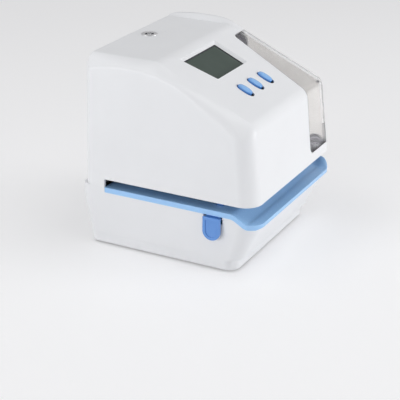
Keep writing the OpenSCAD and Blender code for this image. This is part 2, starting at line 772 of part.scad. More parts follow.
module upper_deck() {
  front = cover_front + wall + 1.5;
  color(c_steel) difference() {
    translate([0, 0, deck_z]) linear_extrude(plate_t)
      plan(-deck_half, deck_half, front, frame_y, [corner_fl, 4, 1, 1]);
    translate([-aperture_w / 2, print_y - aperture_l / 2, deck_z - over])
      cube([aperture_w, aperture_l, plate_t + 2 * over]);
    // Passages of the sensor lever and the lamp
    box(sensor_x - 3.5, sensor_x + 3.5, sensor_y - 6, sensor_y + 9, deck_z - over,
      deck_top + over);
    translate([lamp_x, print_y + 14, deck_z - over]) cylinder(h = 5, d = 5.2, $fn = fine);
    // Notch for the display cable
    box(cable_x - 1, cable_x + cable_w + 1, frame_y - cable_t - 0.6, frame_y + over,
      deck_z - over, deck_top + over);
    // Rear corners stay clear of the cover's back corners and the frame's cheeks
    for (x = [-deck_half - over, frame_x - plate_t - 0.3])
      box(x, x + deck_half - frame_x + over + plate_t + 0.3, slot_back + 0.3, 100,
        deck_z - over, deck_top + over);
  }
}

side_x = half_w - side_in;
side_flange = 6;
side_top = deck_top + 32;
shaft_z = deck_top + shaft_rise;
shaft_y = [print_y - 16, print_y - 16 + shaft_pitch];
module side_plate(x) {
  color(c_steel) difference() {
    union() {
      along_x(x, x + plate_t) polygon([[shaft_y[0] - 10, deck_top], [slot_back - 4, deck_top],
        [slot_back - 4, deck_top + 20], [shaft_y[1] + 32, side_top],
        [shaft_y[1] - 10, side_top], [shaft_y[0] - 10, deck_top + 22]]);
      inner = x > 0 ? x - side_flange : x + plate_t;
      box(inner, inner + side_flange, shaft_y[0] - 8, shaft_y[1] + 30, deck_top, deck_top + plate_t);
    }
    for (y = shaft_y) rod_x(x - over, x + plate_t + over, y, shaft_z, shaft_d + 0.06);
  }
}
module left_side_plate() { side_plate(-side_x - plate_t); }
module right_side_plate() { side_plate(side_x); }

shaft_half = side_x + 3;
module front_guide_shaft() {
  color(c_steel) rod_x(-shaft_half, shaft_half, shaft_y[0], shaft_z, shaft_d);
}
module rear_guide_shaft() {
  color(c_steel) rod_x(-shaft_half, shaft_half, shaft_y[1], shaft_z, shaft_d);
}

/* ---- carriage ---- */
bush_d = shaft_d + 4;
bush_l = 8;
car_z0 = shaft_z - 7;
car_z1 = shaft_z + 6;
car_y0 = shaft_y[0] - 6.5;
car_y1 = shaft_y[1] + 6;
nose_w = 10;
nose_l = 14;
module carriage() {
  color(c_dark) difference() {
    box(-carriage_w / 2, carriage_w / 2, car_y0, car_y1, car_z0, car_z1);
    // Well for the head's nose
    box(-nose_w / 2 - 0.2, nose_w / 2 + 0.2, print_y - nose_l / 2 - 0.2,
      print_y + nose_l / 2 + 0.2, 0, 200);
    rod_x(-carriage_w / 2 - over, carriage_w / 2 + over, shaft_y[0], shaft_z, bush_d);
    rod_x(-carriage_w / 2 - over, carriage_w / 2 + over, shaft_y[1], shaft_z,
      shaft_d + 2 * run_gap);
  }
}
module carriage_bushes() {
  color(c_brass) for (x = [-carriage_w / 2, carriage_w / 2 - bush_l]) difference() {
    rod_x(x, x + bush_l, shaft_y[0], shaft_z, bush_d);
    rod_x(x - over, x + bush_l + over, shaft_y[0], shaft_z, shaft_d + 2 * run_gap);
  }
}
head_h = 20;
nose_z = deck_z + 0.9;
module print_head() {
  fins = 5;
  fin_gap = 1.6;
  color(c_steel) {
    difference() {
      translate([0, print_y, car_z1]) cylinder(h = head_h, d = head_d, $fn = fine);
      for (i = [1 : fins]) translate([0, print_y, car_z1 + 4 + i * 2 * fin_gap - fin_gap])
        difference() {
          cylinder(h = fin_gap, d = head_d + 2, $fn = fine);
          translate([0, 0, -over]) cylinder(h = fin_gap + 2 * over, d = head_d - 8, $fn = fine);
        }
    }
    box(-nose_w / 2, nose_w / 2, print_y - nose_l / 2, print_y + nose_l / 2, nose_z + 6, car_z1);
    box(-2.5, 2.5, print_y - 4, print_y + 4, nose_z, nose_z + 6);
  }
}

/* ---- belt drive ---- */
belt_y = shaft_y[1] + 18;
belt_z = deck_top + 11.5;
belt_in = pulley_r + 0.3;
pulley_x = pulley_span / 2;
module belt_ring(r) {
  for (sx = [-1, 1]) translate([sx * pulley_x, belt_y]) circle(r = r, $fn = 64);
  translate([-pulley_x, belt_y - r]) square([2 * pulley_x, 2 * r]);
}
module drive_belt() {
  color(c_rubber) translate([0, 0, belt_z]) linear_extrude(belt_w) difference() {
    belt_ring(belt_in + belt_t);
    belt_ring(belt_in);
  }
}
clamp_half = 6;
module belt_clamp() {
  run_y = belt_y - belt_in - belt_t;
  color(c_dark) difference() {
    box(-clamp_half, clamp_half, car_y1, run_y + belt_t + 3, belt_z - 1.8, belt_z + belt_w);
    box(-clamp_half - over, clamp_half + over, run_y - 0.35, run_y + belt_t + 0.35,
      belt_z - 0.35, belt_z + belt_w + over);
  }
}
pulley_rim = 0.8;
motor_gap = 3.6;
motor_z = belt_z + belt_w + motor_gap + plate_t;
motor_d = 32;
motor_shaft_d = 4;
module pulley(x, bore) {
  color(c_brass) translate([x, belt_y, belt_z]) difference() {
    union() {
      translate([0, 0, -0.3 - pulley_rim])
        cylinder(h = belt_w + 0.6 + 2 * pulley_rim, r = pulley_r, $fn = fine);
      for (z = [-0.3 - pulley_rim, belt_w + 0.3]) translate([0, 0, z])
        cylinder(h = pulley_rim, r = pulley_r + 1.8, $fn = fine);
    }
    translate([0, 0, -5]) cylinder(h = 20, d = bore, $fn = fine);
  }
}
module drive_pulley() { pulley(-pulley_x, motor_shaft_d); }
module idler_pulley() { pulley(pulley_x, motor_shaft_d + 2 * run_gap); }
module motor_shaft() {
  z0 = belt_z - 1.5;
  color(c_steel) translate([-pulley_x, belt_y, z0])
    cylinder(h = motor_z + 12 - z0, d = motor_shaft_d, $fn = fine);
}
module idler_pin() {
  color(c_steel) translate([pulley_x, belt_y, deck_top]) {
    cylinder(h = belt_z + belt_w + 4 - deck_top, d = motor_shaft_d, $fn = fine);
    cylinder(h = belt_z - 0.3 - pulley_rim - 0.4 - deck_top, d = motor_shaft_d + 5,
      $fn = fine);
    translate([0, 0, belt_z + belt_w + 0.3 + pulley_rim + 0.4 - deck_top])
      cylinder(h = 1, d = motor_shaft_d + 3, $fn = fine);
  }
}
module motor_bracket() {
  z = motor_z - plate_t;
  color(c_steel) difference() {
    union() {
      box(-side_x, -pulley_x + motor_d / 2 + 2, car_y1 + 1, belt_y + 17, z, motor_z);
      box(-side_x, -side_x + plate_t, car_y1 + 1, belt_y + 17, z - 6, motor_z);
    }
    translate([-pulley_x, belt_y, z - over]) cylinder(h = 5, d = 8, $fn = fine);
  }
}
module carriage_motor() {
  color(c_steel) translate([-pulley_x, belt_y, motor_z]) difference() {
    union() {
      cylinder(h = 18, d = motor_d, $fn = fine);
      translate([0, 0, 18]) cylinder(h = 2, d = 12, $fn = fine);
    }
    translate([0, 0, -over]) cylinder(h = 14, d = motor_shaft_d + 2 * run_gap, $fn = fine);
  }
}

/* ---- ribbon ---- */
cart_half = carriage_travel + carriage_w / 2 + 14;
cart_z0 = deck_top + 1;
cart_z1 = deck_top + 18;
lid_t = 1.5;
cart_gap = 5.3;
cart_y0 = front_at(cart_z1 + lid_t) + wall + cart_gap;
cart_y1 = shaft_y[0] - 10;
cart_wall = 1.6;
arm_w = 7;
arm_top = shaft_z - shaft_d / 2 - 1;
knob_x = -45;
knob_y = (cart_y0 + cart_y1) / 2;
roller_d = 9;
roller_shaft_d = 4;
pinch_x = knob_x + roller_d + free_gap;
module ribbon_cartridge() {
  color(c_dark) difference() {
    union() {
      box(-cart_half, cart_half, cart_y0, cart_y1, cart_z0, cart_z1);
      for (x = [-cart_half, cart_half - arm_w]) {
        box(x, x + arm_w, cart_y1 - 1, print_y + 6, cart_z0, arm_top);
        box(x, x + arm_w, print_y - 6, print_y + 6, deck_z + 0.1, cart_z0 + 1);
      }
      for (x = [-40, 40]) box(x - 4, x + 4, cart_y0 + 2, cart_y1 - 2, deck_top, cart_z0);
    }
    box(-cart_half + cart_wall, cart_half - cart_wall, cart_y0 + cart_wall,
      cart_y1 - cart_wall, cart_z0 + cart_wall, cart_z1 + over);
  }
}
module cartridge_lid() {
  color(c_dark) difference() {
    box(-cart_half, cart_half, cart_y0, cart_y1, cart_z1, cart_z1 + lid_t);
    for (x = [knob_x, pinch_x]) translate([x, knob_y, 0])
      cylinder(h = 200, d = roller_shaft_d + 2 * run_gap, $fn = fine);
  }
}
module ink_ribbon() {
  color([0.12, 0.1, 0.25]) box(-cart_half + arm_w, cart_half - arm_w, print_y - 5, print_y + 5,
    deck_z + 0.3, deck_z + 0.5);
}
roller_z = cart_z0 + cart_wall + 0.4;
module roller(x, top) {
  color(c_dark) translate([x, knob_y, 0]) {
    translate([0, 0, roller_z]) cylinder(h = 12, d = roller_d, $fn = fine);
    translate([0, 0, roller_z]) cylinder(h = top - roller_z, d = roller_shaft_d, $fn = fine);
  }
}
knob_z = cart_z1 + lid_t + 0.4;
module feed_roller() { roller(knob_x, knob_z + 6); }
module pinch_roller() { roller(pinch_x, cart_z1 + lid_t); }
module ribbon_knob() {
  grips = 12;
  color(c_blue) translate([knob_x, knob_y, knob_z]) difference() {
    cylinder(h = 6, d = 15, $fn = fine);
    for (i = [0 : grips - 1]) rotate([0, 0, i * 360 / grips]) translate([8, 0, -over])
      cylinder(h = 8, d = 2, $fn = 16);
    translate([0, 0, -over]) cylinder(h = 8, d = roller_shaft_d, $fn = fine);
  }
}

/* ---- shield under the window ---- */
shield_gap = 0.8;
shield_t = 1.4;
shield_x0 = half_at(slot_z) - win_w - 1;
shield_s = win_top - 1;
shield_v = win_sill - 1;
// Round ends of the shield, as distance below the bend or height above the slot, and radius
top_arc = [-5, 35];
low_arc = [-24, 50];
// Side view of a line at a depth below the cover, over slope, bend and front
function skin(depth, s0, v0) = concat(
  [p_slope + s0 * [-cos(slope_a), -sin(slope_a)] - depth * n_slope],
  [for (i = [0 : 8]) let (a = 90 + slope_a + (90 - slope_a - lean_a) * i / 8)
    bend_c + (bend_r - depth) * [cos(a), sin(a)]],
  [p_front + v0 * [sin(lean_a), cos(lean_a)] - depth * n_front]);
module print_unit_shield() {
  d0 = wall + shield_gap;
  d1 = d0 + shield_t;
  far = skin(d1, shield_s, shield_v);
  function edge(z) = half_at(z) - wall - shield_gap;
  color(c_beige) union() {
    difference() {
      intersection() {
        along_x(shield_x0, half_w) polygon(concat(skin(d0, shield_s, shield_v),
          [for (i = [len(far) - 1 : -1 : 0]) far[i]]));
        // The right edge follows the draft of the cover's side
        translate([0, rear_y, 0]) rotate([90, 0, 0]) linear_extrude(body_d)
          polygon([[0, slot_z], [edge(slot_z), slot_z], [edge(top_z), top_z], [0, top_z]]);
      }
      on_slope() translate([shield_x0 + 4, -top_arc[0], -d1 - over])
        cylinder(h = d1 + 2 * over, r = top_arc[1], $fn = 96);
      on_front() translate([shield_x0, low_arc[0], -d1 - over])
        cylinder(h = d1 + 2 * over, r = low_arc[1], $fn = 96);
    }
    // Upright web that stands on the deck beside the side plate
    along_x(side_x - 2, side_x) difference() {
      polygon(concat(skin(d0 + 0.5, 22, 20), [[cover_front + 24, deck_top + 1.5],
        [print_y + 20, deck_top + 1.5]]));
      for (y = shaft_y) translate([y, shaft_z]) circle(d = shaft_d + 2, $fn = fine);
    }
  }
}

/* ---- boards and small parts ---- */
board_z = floor_z + 6;
board = [110, 84];
board_y0 = plinth_y + 22;
module main_board() {
  color(c_board) {
    translate([-board[0] / 2, board_y0, board_z]) cube([board[0], board[1], 1.6]);
    for (x = [-1, 1], y = [board_y0 + 5, board_y0 + board[1] - 5])
      translate([x * (board[0] / 2 - 5), y, floor_z]) cylinder(h = 6, d = 6, $fn = fine);
  }
}
module board_parts() {
  z = board_z + 1.6;
  color(c_dark) {
    box(-12, 12, board_y0 + 30, board_y0 + 54, z, z + 3);
    box(22, 44, board_y0 + 10, board_y0 + 20, z, z + 4);
    box(-48, -36, board_y0 + 36, board_y0 + 64, z, z + 9);
    for (i = [0 : 3]) translate([20 + 9 * i, board_y0 + 70, z])
      cylinder(h = 12, d = 7, $fn = fine);
  }
}
module backup_battery() {
  z = board_z + 1.6;
  color([0.25, 0.5, 0.3]) for (i = [0 : 2])
    translate([-20 + i * 14.2, board_y0 + 5, z + 7]) rotate([-90, 0, 0])
    cylinder(h = 20, d = 14, $fn = fine);
}
module buzzer() {
  color(c_dark) translate([-40, board_y0 + 24, board_z + 1.6]) difference() {
    cylinder(h = 8, d = 14, $fn = fine);
    translate([0, 0, 6]) cylinder(h = 4, d = 2.5, $fn = fine);
  }
}
module display_cable() {
  // Flat cable down the face of the rear frame, from its flange to the board
  t = cable_t;
  y = frame_y - 0.1;
  color([0.55, 0.57, 0.6]) along_x(cable_x, cable_x + cable_w) polygon([
    [y, frame_top - 0.1], [y - 30, frame_top - 0.1], [y - 30, frame_top - 0.1 - t],
    [y - t, frame_top - 0.1 - t], [y - t, board_z + 5.4 + t],
    [board_y0 + board[1] - 8, board_z + 5.4 + t], [board_y0 + board[1] - 8, board_z + 1.6],
    [board_y0 + board[1] - 4, board_z + 1.6], [board_y0 + board[1] - 4, board_z + 5.4],
    [y, board_z + 5.4]]);
}
panel_step_z = seam_z + 50.8;
mount_pitch = 80;
mount_z = panel_top - 14;
mount_d = 4.2;
module rear_panel() {
  half = rear_notch_w - 1;
  face = frame_y + plate_t;
  color(c_body) difference() {
    union() {
      box(-half, half, face, rear_y - 1.5, seam_z - 5, panel_top);
      box(-half, half, face, rear_y, panel_step_z, panel_top);
    }
    difference() {
      box(-half + wall, half - wall, face - over, rear_y - 1.5 - wall, seam_z - 5 + wall,
        panel_top - wall);
      // Screw bosses
      for (sx = [-1, 1]) rod_y(face, rear_y, sx * mount_pitch / 2, mount_z, 10);
    }
    for (sx = [-1, 1]) rod_y(face - over, rear_y + over, sx * mount_pitch / 2, mount_z, mount_d);
    // Vents
    for (i = [0 : 6]) box(-20 + i * 6, -17 + i * 6, rear_y - 8, rear_y + over,
      seam_z + 8, seam_z + 34);
  }
}
module power_jack() {
  color(c_dark) translate([jack_x, 0, jack_z]) rotate([-90, 0, 0]) difference() {
    union() {
      translate([0, 0, frame_y + 2]) cylinder(h = cover_back + 2.6 - frame_y - 2, d = jack_d,
        $fn = fine);
      translate([0, 0, frame_y + 2]) cylinder(h = 4, d = jack_d + 2, $fn = fine);
    }
    translate([0, 0, cover_back - 8]) difference() {
      cylinder(h = 20, d = 5.5, $fn = fine);
      translate([0, 0, -over]) cylinder(h = 12, d = 2, $fn = fine);
    }
  }
}

/* ---- paper stop lever ---- */
tab_top = pin_z + 1.6;
tab_out = 2.4;
tab_rim = 2.6;
tab_panel = 0.7;
// Frame on the tab's outer face: local X runs down, local Z points into the tab
module tab_frame() {
  translate([-half_w - tab_out, tab_mid, tab_top]) rotate([0, 90, 0]) children();
}
// Outline of the tab, round at its lower end, moved inwards by t
module tab_outline(t) {
  straight = tab_h - tab_w / 2;
  translate([t, -tab_w / 2 + t]) square([straight - t, tab_w - 2 * t]);
  translate([straight, 0]) circle(d = tab_w - 2 * t, $fn = fine);
}
module stop_lever() {
  arm_t = 2;
  color(c_blue) difference() {
    union() {
      // Tab outside the wall
      tab_frame() linear_extrude(tab_t) tab_outline(0);
      // Web through the notch, barrel on the pin, and the arm with its finger
      box(-half_w - tab_out + 1, pin_x, tab_mid - 5, tab_mid + 5, pin_z - 1.8, tab_top);
      rod_y(tab_mid - 7, tab_mid + 7, pin_x, pin_z, tab_pin_d + 2.4);
      box(pin_x, finger_x + 1, tab_mid - 3, tab_mid + 3, pin_z - 1.5, pin_z - 1.5 + arm_t);
      box(finger_x - 1, finger_x + 1, tab_mid - 3, tab_mid + 3, pin_z - 1.5,
        table_z + finger_h);
    }
    // Shallow panel inside the rim
    tab_frame() translate([0, 0, -over]) linear_extrude(over + tab_panel)
      tab_outline(tab_rim);
    rod_y(tab_mid - 20, tab_mid + 20, pin_x, pin_z, tab_pin_d + 2 * run_gap);
  }
}
module stop_lever_pin() {
  color(c_steel) rod_y(tab_mid - notch_w / 2 - ear_w, tab_mid + notch_w / 2 + ear_w,
    pin_x, pin_z, tab_pin_d);
}
module stop_lever_spring() {
  color(c_steel) translate([pin_x + 9, tab_mid, spring_z])
    coil(4.4, 0.6, pin_z - 1.5 - 0.3 - spring_z, 5);
}

/* ---- paper sensor ---- */
sensor_pin_z = deck_top + 9;
module sensor_bracket() {
  color(c_steel) difference() {
    union() {
      for (s = [-1, 1]) box(sensor_x + s * 5 - plate_t / 2, sensor_x + s * 5 + plate_t / 2,
        sensor_y - 5, sensor_y + 5, deck_top, sensor_pin_z + 4);
      box(sensor_x + 5, sensor_x + 14, sensor_y - 5, sensor_y + 5, deck_top,
        deck_top + plate_t);
      box(sensor_x - 14, sensor_x - 5, sensor_y - 5, sensor_y + 5, deck_top,
        deck_top + plate_t);
    }
    rod_x(sensor_x - 10, sensor_x + 10, sensor_y, sensor_pin_z, 2.4 + 2 * run_gap);
  }
}
module sensor_lever() {
  color(c_dark) {
    rod_x(sensor_x - 7, sensor_x + 7, sensor_y, sensor_pin_z, 2.4);
    rod_x(sensor_x - 3.6, sensor_x + 3.6, sensor_y, sensor_pin_z, 5);
    box(sensor_x - 1.5, sensor_x + 1.5, sensor_y - 1, sensor_y + 1, table_z + 1.2,
      sensor_pin_z);
    box(sensor_x - 1, sensor_x + 1, sensor_y - 1.5, sensor_y + 1.5, sensor_pin_z,
      sensor_pin_z + 9);
  }
}
module sensor_switch() {
  // Light gate: the lever's flag stands between its two posts
  z = sensor_pin_z + 4.4;
  color(c_dark) {
    for (s = [-1, 1]) box(sensor_x + s * 3.4 - 1.6, sensor_x + s * 3.4 + 1.6, sensor_y - 4,
      sensor_y + 8, z, z + 9);
    box(sensor_x - 5, sensor_x + 5, sensor_y - 4, sensor_y + 8, z + 9, z + 11);
    box(sensor_x - 5, sensor_x + 5, sensor_y + 7, sensor_y + 10, deck_top, z + 11);
  }
}
module print_lamp() {
  color([0.95, 0.95, 0.85]) translate([lamp_x, print_y + 14, deck_z]) {
    cylinder(h = 5, d = 5, $fn = fine);
    translate([0, 0, plate_t]) cylinder(h = 1, d = 6, $fn = fine);
  }
}

base_shell();
bottom_plate();
rubber_feet();
bottom_screws();
paper_table();
platen();
rear_frame();
upper_deck();
left_side_plate();
right_side_plate();
front_guide_shaft();
rear_guide_shaft();
drive_belt();
motor_bracket();
carriage_motor();
idler_pin();
ribbon_cartridge();
cartridge_lid();
ink_ribbon();
print_unit_shield();
display_bracket();
lcd_module();
lcd_glass();
button_board();
button_switches();
button_springs();
main_board();
board_parts();
backup_battery();
buzzer();
display_cable();
rear_panel();
power_jack();
lock_catch();
sensor_bracket();
sensor_switch();
stop_lever_pin();
stop_lever_spring();
top_cover();
window();
lock_sleeve();
lock_nut();
lock_barrel();
lock_cam();
left_button();
middle_button();
right_button();
stop_lever();
sensor_lever();
carriage();
carriage_bushes();
belt_clamp();
print_head();
motor_shaft();
drive_pulley();
idler_pulley();
ribbon_knob();
feed_roller();
pinch_roller();
print_lamp();
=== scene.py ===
"""Looks of a desk date and time stamp machine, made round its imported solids.

Lengths are in millimetres until a mesh is made, in the solids' own axes: X runs to the
operator's right, the front is -Y and the desk is Z = 0.
"""
import json
import math

import bmesh
import bpy
import numpy as np
from mathutils import Euler, Matrix, Vector


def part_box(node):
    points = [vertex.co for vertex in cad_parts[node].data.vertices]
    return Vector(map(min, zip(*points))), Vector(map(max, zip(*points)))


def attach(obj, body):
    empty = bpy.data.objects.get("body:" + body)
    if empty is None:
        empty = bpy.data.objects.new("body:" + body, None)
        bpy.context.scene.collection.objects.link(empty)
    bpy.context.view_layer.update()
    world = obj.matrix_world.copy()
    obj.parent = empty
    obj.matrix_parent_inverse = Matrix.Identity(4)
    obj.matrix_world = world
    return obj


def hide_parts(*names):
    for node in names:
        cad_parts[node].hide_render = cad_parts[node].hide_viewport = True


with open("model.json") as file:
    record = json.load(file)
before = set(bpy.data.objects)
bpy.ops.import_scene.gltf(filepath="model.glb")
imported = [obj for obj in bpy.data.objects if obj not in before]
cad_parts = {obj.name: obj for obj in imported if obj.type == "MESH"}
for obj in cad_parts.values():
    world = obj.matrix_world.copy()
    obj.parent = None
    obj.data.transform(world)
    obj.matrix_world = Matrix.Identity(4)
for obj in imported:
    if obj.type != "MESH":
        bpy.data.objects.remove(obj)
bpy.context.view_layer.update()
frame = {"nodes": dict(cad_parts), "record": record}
MM = 0.001


# ---- sizes ----


def node_box(name):
    """Lowest and highest corner of a solid, in mm."""
    low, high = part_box(name)
    return np.array(low) / MM, np.array(high) / MM


def joint_of(name):
    """The record's entry of a joint."""
    return next(j for j in frame["record"]["behaviour"]["joints"] if j["name"] == name)


TABLE_LOW, TABLE_HIGH = node_box("paper_table")
COVER_LOW, COVER_HIGH = node_box("top_cover")
PANEL_HIGH = node_box("rear_panel")[1]
BASE_LOW, BASE_HIGH = node_box("base_shell")

# Casing
HALF_W = -TABLE_LOW[0]
LIP_Y = TABLE_LOW[1]
TABLE_Z = TABLE_HIGH[2]
SLOT_BACK = TABLE_HIGH[1]
SLOT_Z = node_box("upper_deck")[0][2] - 0.5
COVER_BACK = COVER_HIGH[1]
COVER_FOOT = COVER_LOW[2]
LIP_OUT = 4.0
COVER_FRONT = LIP_Y + LIP_OUT
WALL = 2.5
SIDE_DRAFT = 0.032
FRONT_LEAN = 0.107
CORNER_FRONT_LEFT = 16.0
CORNER_FRONT_RIGHT = 4.0
CORNER_BACK = 7.0

# Slope, bend and flat top
press = joint_of("left_button_press")["axis"]
SLOPE = math.atan2(press[1], -press[2])
RIDGE_H = 4.7
TOP_Z = COVER_HIGH[2] - RIDGE_H
FLAT_D = 66.7
BEND_Y = COVER_BACK - FLAT_D
BEND_R = 13.0
TOP_BEND_R = 24.0

# Rounded shoulder and arch on the left, rail on the right
SHOULDER_W = 11.7
ARCH_R = 150.0
ARCH_BACK = 42.6
ARCH_DROP = 6.4
ARCH_Y = COVER_BACK - ARCH_BACK
ARCH_Z = TOP_Z - ARCH_DROP
ARCH_EDGE_R = 4.5
RIDGE_W = 9.0
RIDGE_TOP_W = 1.6
CREST_BACK = 32.0
RIDGE_CREST = COVER_BACK - CREST_BACK
RIDGE_BACK_H = 1.0
RIDGE_NOSE_Y = 34.0
RIDGE_NOSE_DROP = 0.0116
GROOVE_DEEP = 0.8
GROOVE_W = 0.55

# Window
WIN_TOP = 13.0
WIN_W_TOP = 25.0
WIN_W = 39.0
WIN_SILL = 9.2
WIN_R = 6.0
WIN_FLANGE = 14.0
WIN_FLANGE_Z = 26.0
WIN_SEAM = 0.35

# Display
LCD_W = 60.0
LCD_L = 33.0
LCD_SLANT = 9.0
LCD_TOP = 10.5
LCD_LEFT = 8.0
LCD_BEVEL = 2.5
LCD_RIM = 0.4
LCD_R = 0.8

# Buttons
BTN_L = 14.4
BTN_W = 8.2
BTN_PITCH = 20.6
BTN_S = 66.7
BTN_LEFT = 2.4
BTN_H = 2.2
BTN_GAP = 0.75
BTN_FRONT_GAP = 0.5
BTN_POWER = 2.5
BTN_CROWN = 0.45
BTN_FLANGE_H = 4.8
BTN_FLANGE_T = 1.2

# Dark plates of painted shade past the guard's ends: depth below the slope and the front, thickness and
# left edge of the top one
SHADE_PLATE_DEEP = 5.2
SHADE_PLATE_T = 1.2
SHADE_PLATE_LEFT = 46.0

# Lock and the dimple beside it
LOCK_NECK_R = 5.5
LOCK_RING_R = 3.75
LOCK_FACE_R = 2.3
DIMPLE = (18.9, 55.5)
DIMPLE_R = 0.8

# Base and table
TABLE_T = 4.7
TABLE_DROP = 7.0
TABLE_CURVE = 17.0
TABLE_CURVE_AT = LIP_Y + 10.0
TABLE_R = 13.0
LIP_THIN = 1.4
CURB_W = 12.0
CURB_L = 11.5
BASE_TOP = TABLE_Z - TABLE_T
FOOT_H = BASE_LOW[2]
PLINTH_SET = 23.9
BASE_IN = 6.7
PLINTH_Y = LIP_Y + PLINTH_SET
PLINTH_HALF = HALF_W - BASE_IN
PLINTH_H = 8.5
PLINTH_R = 11.0
FLARE_FOOT = 4.6
BASE_BACK = COVER_BACK + 3.5
PLINTH_BACK = COVER_BACK - 1.0


def half_at(z):
    return HALF_W - SIDE_DRAFT * (z - SLOT_Z)


def front_at(z):
    return COVER_FRONT + FRONT_LEAN * (z - SLOT_Z)


# ---- meshes ----


def make_object(name, points, faces):
    """A mesh object from points in mm."""
    mesh = bpy.data.meshes.new(name)
    mesh.from_pydata([tuple(p) for p in np.asarray(points, float) * MM], [], faces)
    mesh.validate()
    thing = bpy.data.objects.new(name, mesh)
    bpy.context.scene.collection.objects.link(thing)
    return thing


def signed_volume(points, faces):
    """Six times the volume that the faces enclose, above 0 where they face outwards."""
    p = np.asarray(points, float)
    total = 0.0
    for face in faces:
        for k in range(1, len(face) - 1):
            total += np.dot(p[face[0]], np.cross(p[face[k]], p[face[k + 1]]))
    return total


def outward(points, faces):
    """The faces, turned if need be so that they face outwards."""
    if signed_volume(points, faces) < 0:
        return [tuple(reversed(f)) for f in faces]
    return [tuple(f) for f in faces]


def loft(rings, closed=False):
    """Points and faces of a closed form through rings of as many points each."""
    rings = np.asarray(rings, float)
    count, size = rings.shape[:2]
    points = rings.reshape(-1, 3)
    faces = []
    for i in range(count if closed else count - 1):
        a, b = i * size, (i + 1) % count * size
        for k in range(size):
            n = (k + 1) % size
            faces.append((a + k, a + n, b + n, b + k))
    if not closed:
        faces.append(tuple(range(size))[::-1])
        faces.append(tuple(range((count - 1) * size, count * size)))
    return points, outward(points, faces)


def cut(piece, tool, operation="DIFFERENCE"):
    """Cuts the piece with the tool, which is then gone."""
    modifier = piece.modifiers.new("cut", "BOOLEAN")
    modifier.operation = operation
    modifier.solver = "MANIFOLD"
    modifier.object = tool
    bpy.context.view_layer.update()
    graph = bpy.context.evaluated_depsgraph_get()
    old = piece.data
    piece.data = bpy.data.meshes.new_from_object(piece.evaluated_get(graph))
    piece.modifiers.clear()
    bpy.data.meshes.remove(old)
    bpy.data.objects.remove(tool)
    if not piece.data.polygons:
        raise ValueError(f"nothing is left of {piece.name}")
    return piece


def tidy_mesh(piece, angle=0.3):
    """Merges doubled points and flat neighbouring faces."""
    bm = bmesh.new()
    bm.from_mesh(piece.data)
    bmesh.ops.remove_doubles(bm, verts=bm.verts, dist=1e-6)
    bmesh.ops.dissolve_limit(bm, angle_limit=math.radians(angle), verts=bm.verts, edges=bm.edges)
    bm.to_mesh(piece.data)
    bm.free()


def smooth_by_angle(piece, angle):
    piece.data.shade_smooth()
    piece.data.set_sharp_from_angle(angle=math.radians(angle))


def round_edges(piece, width, segments=3, angle=32):
    """Rounds the edges of a piece."""
    tidy_mesh(piece)
    bevel = piece.modifiers.new("edges", "BEVEL")
    bevel.width = width * MM
    bevel.segments = segments
    bevel.limit_method = "ANGLE"
    bevel.angle_limit = math.radians(angle)
    bevel.harden_normals = True
    bevel.use_clamp_overlap = True
    smooth_by_angle(piece, angle)
    return piece


def gradient(surface, points, step=0.05):
    """Unit direction in which surface(x, y, z) grows."""
    slopes = []
    for axis in range(3):
        ahead, behind = points.copy(), points.copy()
        ahead[:, axis] += step
        behind[:, axis] -= step
        slopes.append(surface(*ahead.T) - surface(*behind.T))
    slopes = np.stack(slopes, 1)
    return slopes / np.maximum(np.linalg.norm(slopes, axis=1, keepdims=True), 1e-9)


def set_normals(piece, surface, wall=WALL, sharp=33):
    """Smooth normals by angle, and exact ones on the outside and inside of a moulded wall."""
    mesh = piece.data
    mesh.shade_smooth()
    mesh.set_sharp_from_angle(angle=math.radians(sharp))
    normals = np.empty(len(mesh.loops) * 3, np.float32)
    mesh.corner_normals.foreach_get("vector", normals)
    normals = normals.reshape(-1, 3).astype(float)
    points = np.empty(len(mesh.vertices) * 3)
    mesh.vertices.foreach_get("co", points)
    points = points.reshape(-1, 3) / MM
    corner = np.empty(len(mesh.loops), np.int64)
    mesh.loops.foreach_get("vertex_index", corner)
    sizes = np.empty(len(mesh.polygons), np.int64)
    mesh.polygons.foreach_get("loop_total", sizes)
    faces = np.empty(len(mesh.polygons) * 3)
    mesh.polygons.foreach_get("normal", faces)
    faces = np.repeat(faces.reshape(-1, 3), sizes, axis=0)
    value = surface(*points.T)
    exact = gradient(surface, points)
    for level, side in ((0.0, 1.0), (-wall, -1.0)):
        near = np.abs(value - level)[corner] < 0.02
        direction = side * exact[corner]
        near &= np.einsum("ij,ij->i", direction, faces) > 0.85
        normals[near] = direction[near]
    mesh.normals_split_custom_set(normals)


def dress(piece, body, slot, *nodes, look=None):
    """Lets a piece ride on its body, stand for nodes and take its slot's material or a look."""
    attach(piece, body)
    if nodes:
        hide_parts(*nodes)
    piece.data.materials.clear()
    piece.data.materials.append(MATERIALS[look or slot])
    return piece


# ---- outlines ----


def arc(cx, cy, radius, start, end, count):
    """Points on an arc, from start to end in degrees."""
    angles = np.radians(np.linspace(start, end, count + 1))
    return np.stack([cx + radius * np.cos(angles), cy + radius * np.sin(angles)], 1)


def rounded_plan(x0, x1, y0, y1, radii, count=12):
    """Rectangle with a radius at front left, front right, back right and back left."""
    fl, fr, br, bl = radii
    return np.concatenate([
        arc(x0 + fl, y0 + fl, fl, 180, 270, count),
        arc(x1 - fr, y0 + fr, fr, 270, 360, count),
        arc(x1 - br, y1 - br, br, 0, 90, count),
        arc(x0 + bl, y1 - bl, bl, 90, 180, count),
    ])


def oval(length, width, count=64, power=2.0):
    """Oval along Y, blunter with a power above 2."""
    angles = np.linspace(0, 2 * math.pi, count, endpoint=False)
    across, along = np.cos(angles), np.sin(angles)
    return np.stack([width / 2 * np.sign(across) * np.abs(across) ** (2 / power),
                     length / 2 * np.sign(along) * np.abs(along) ** (2 / power)], 1)


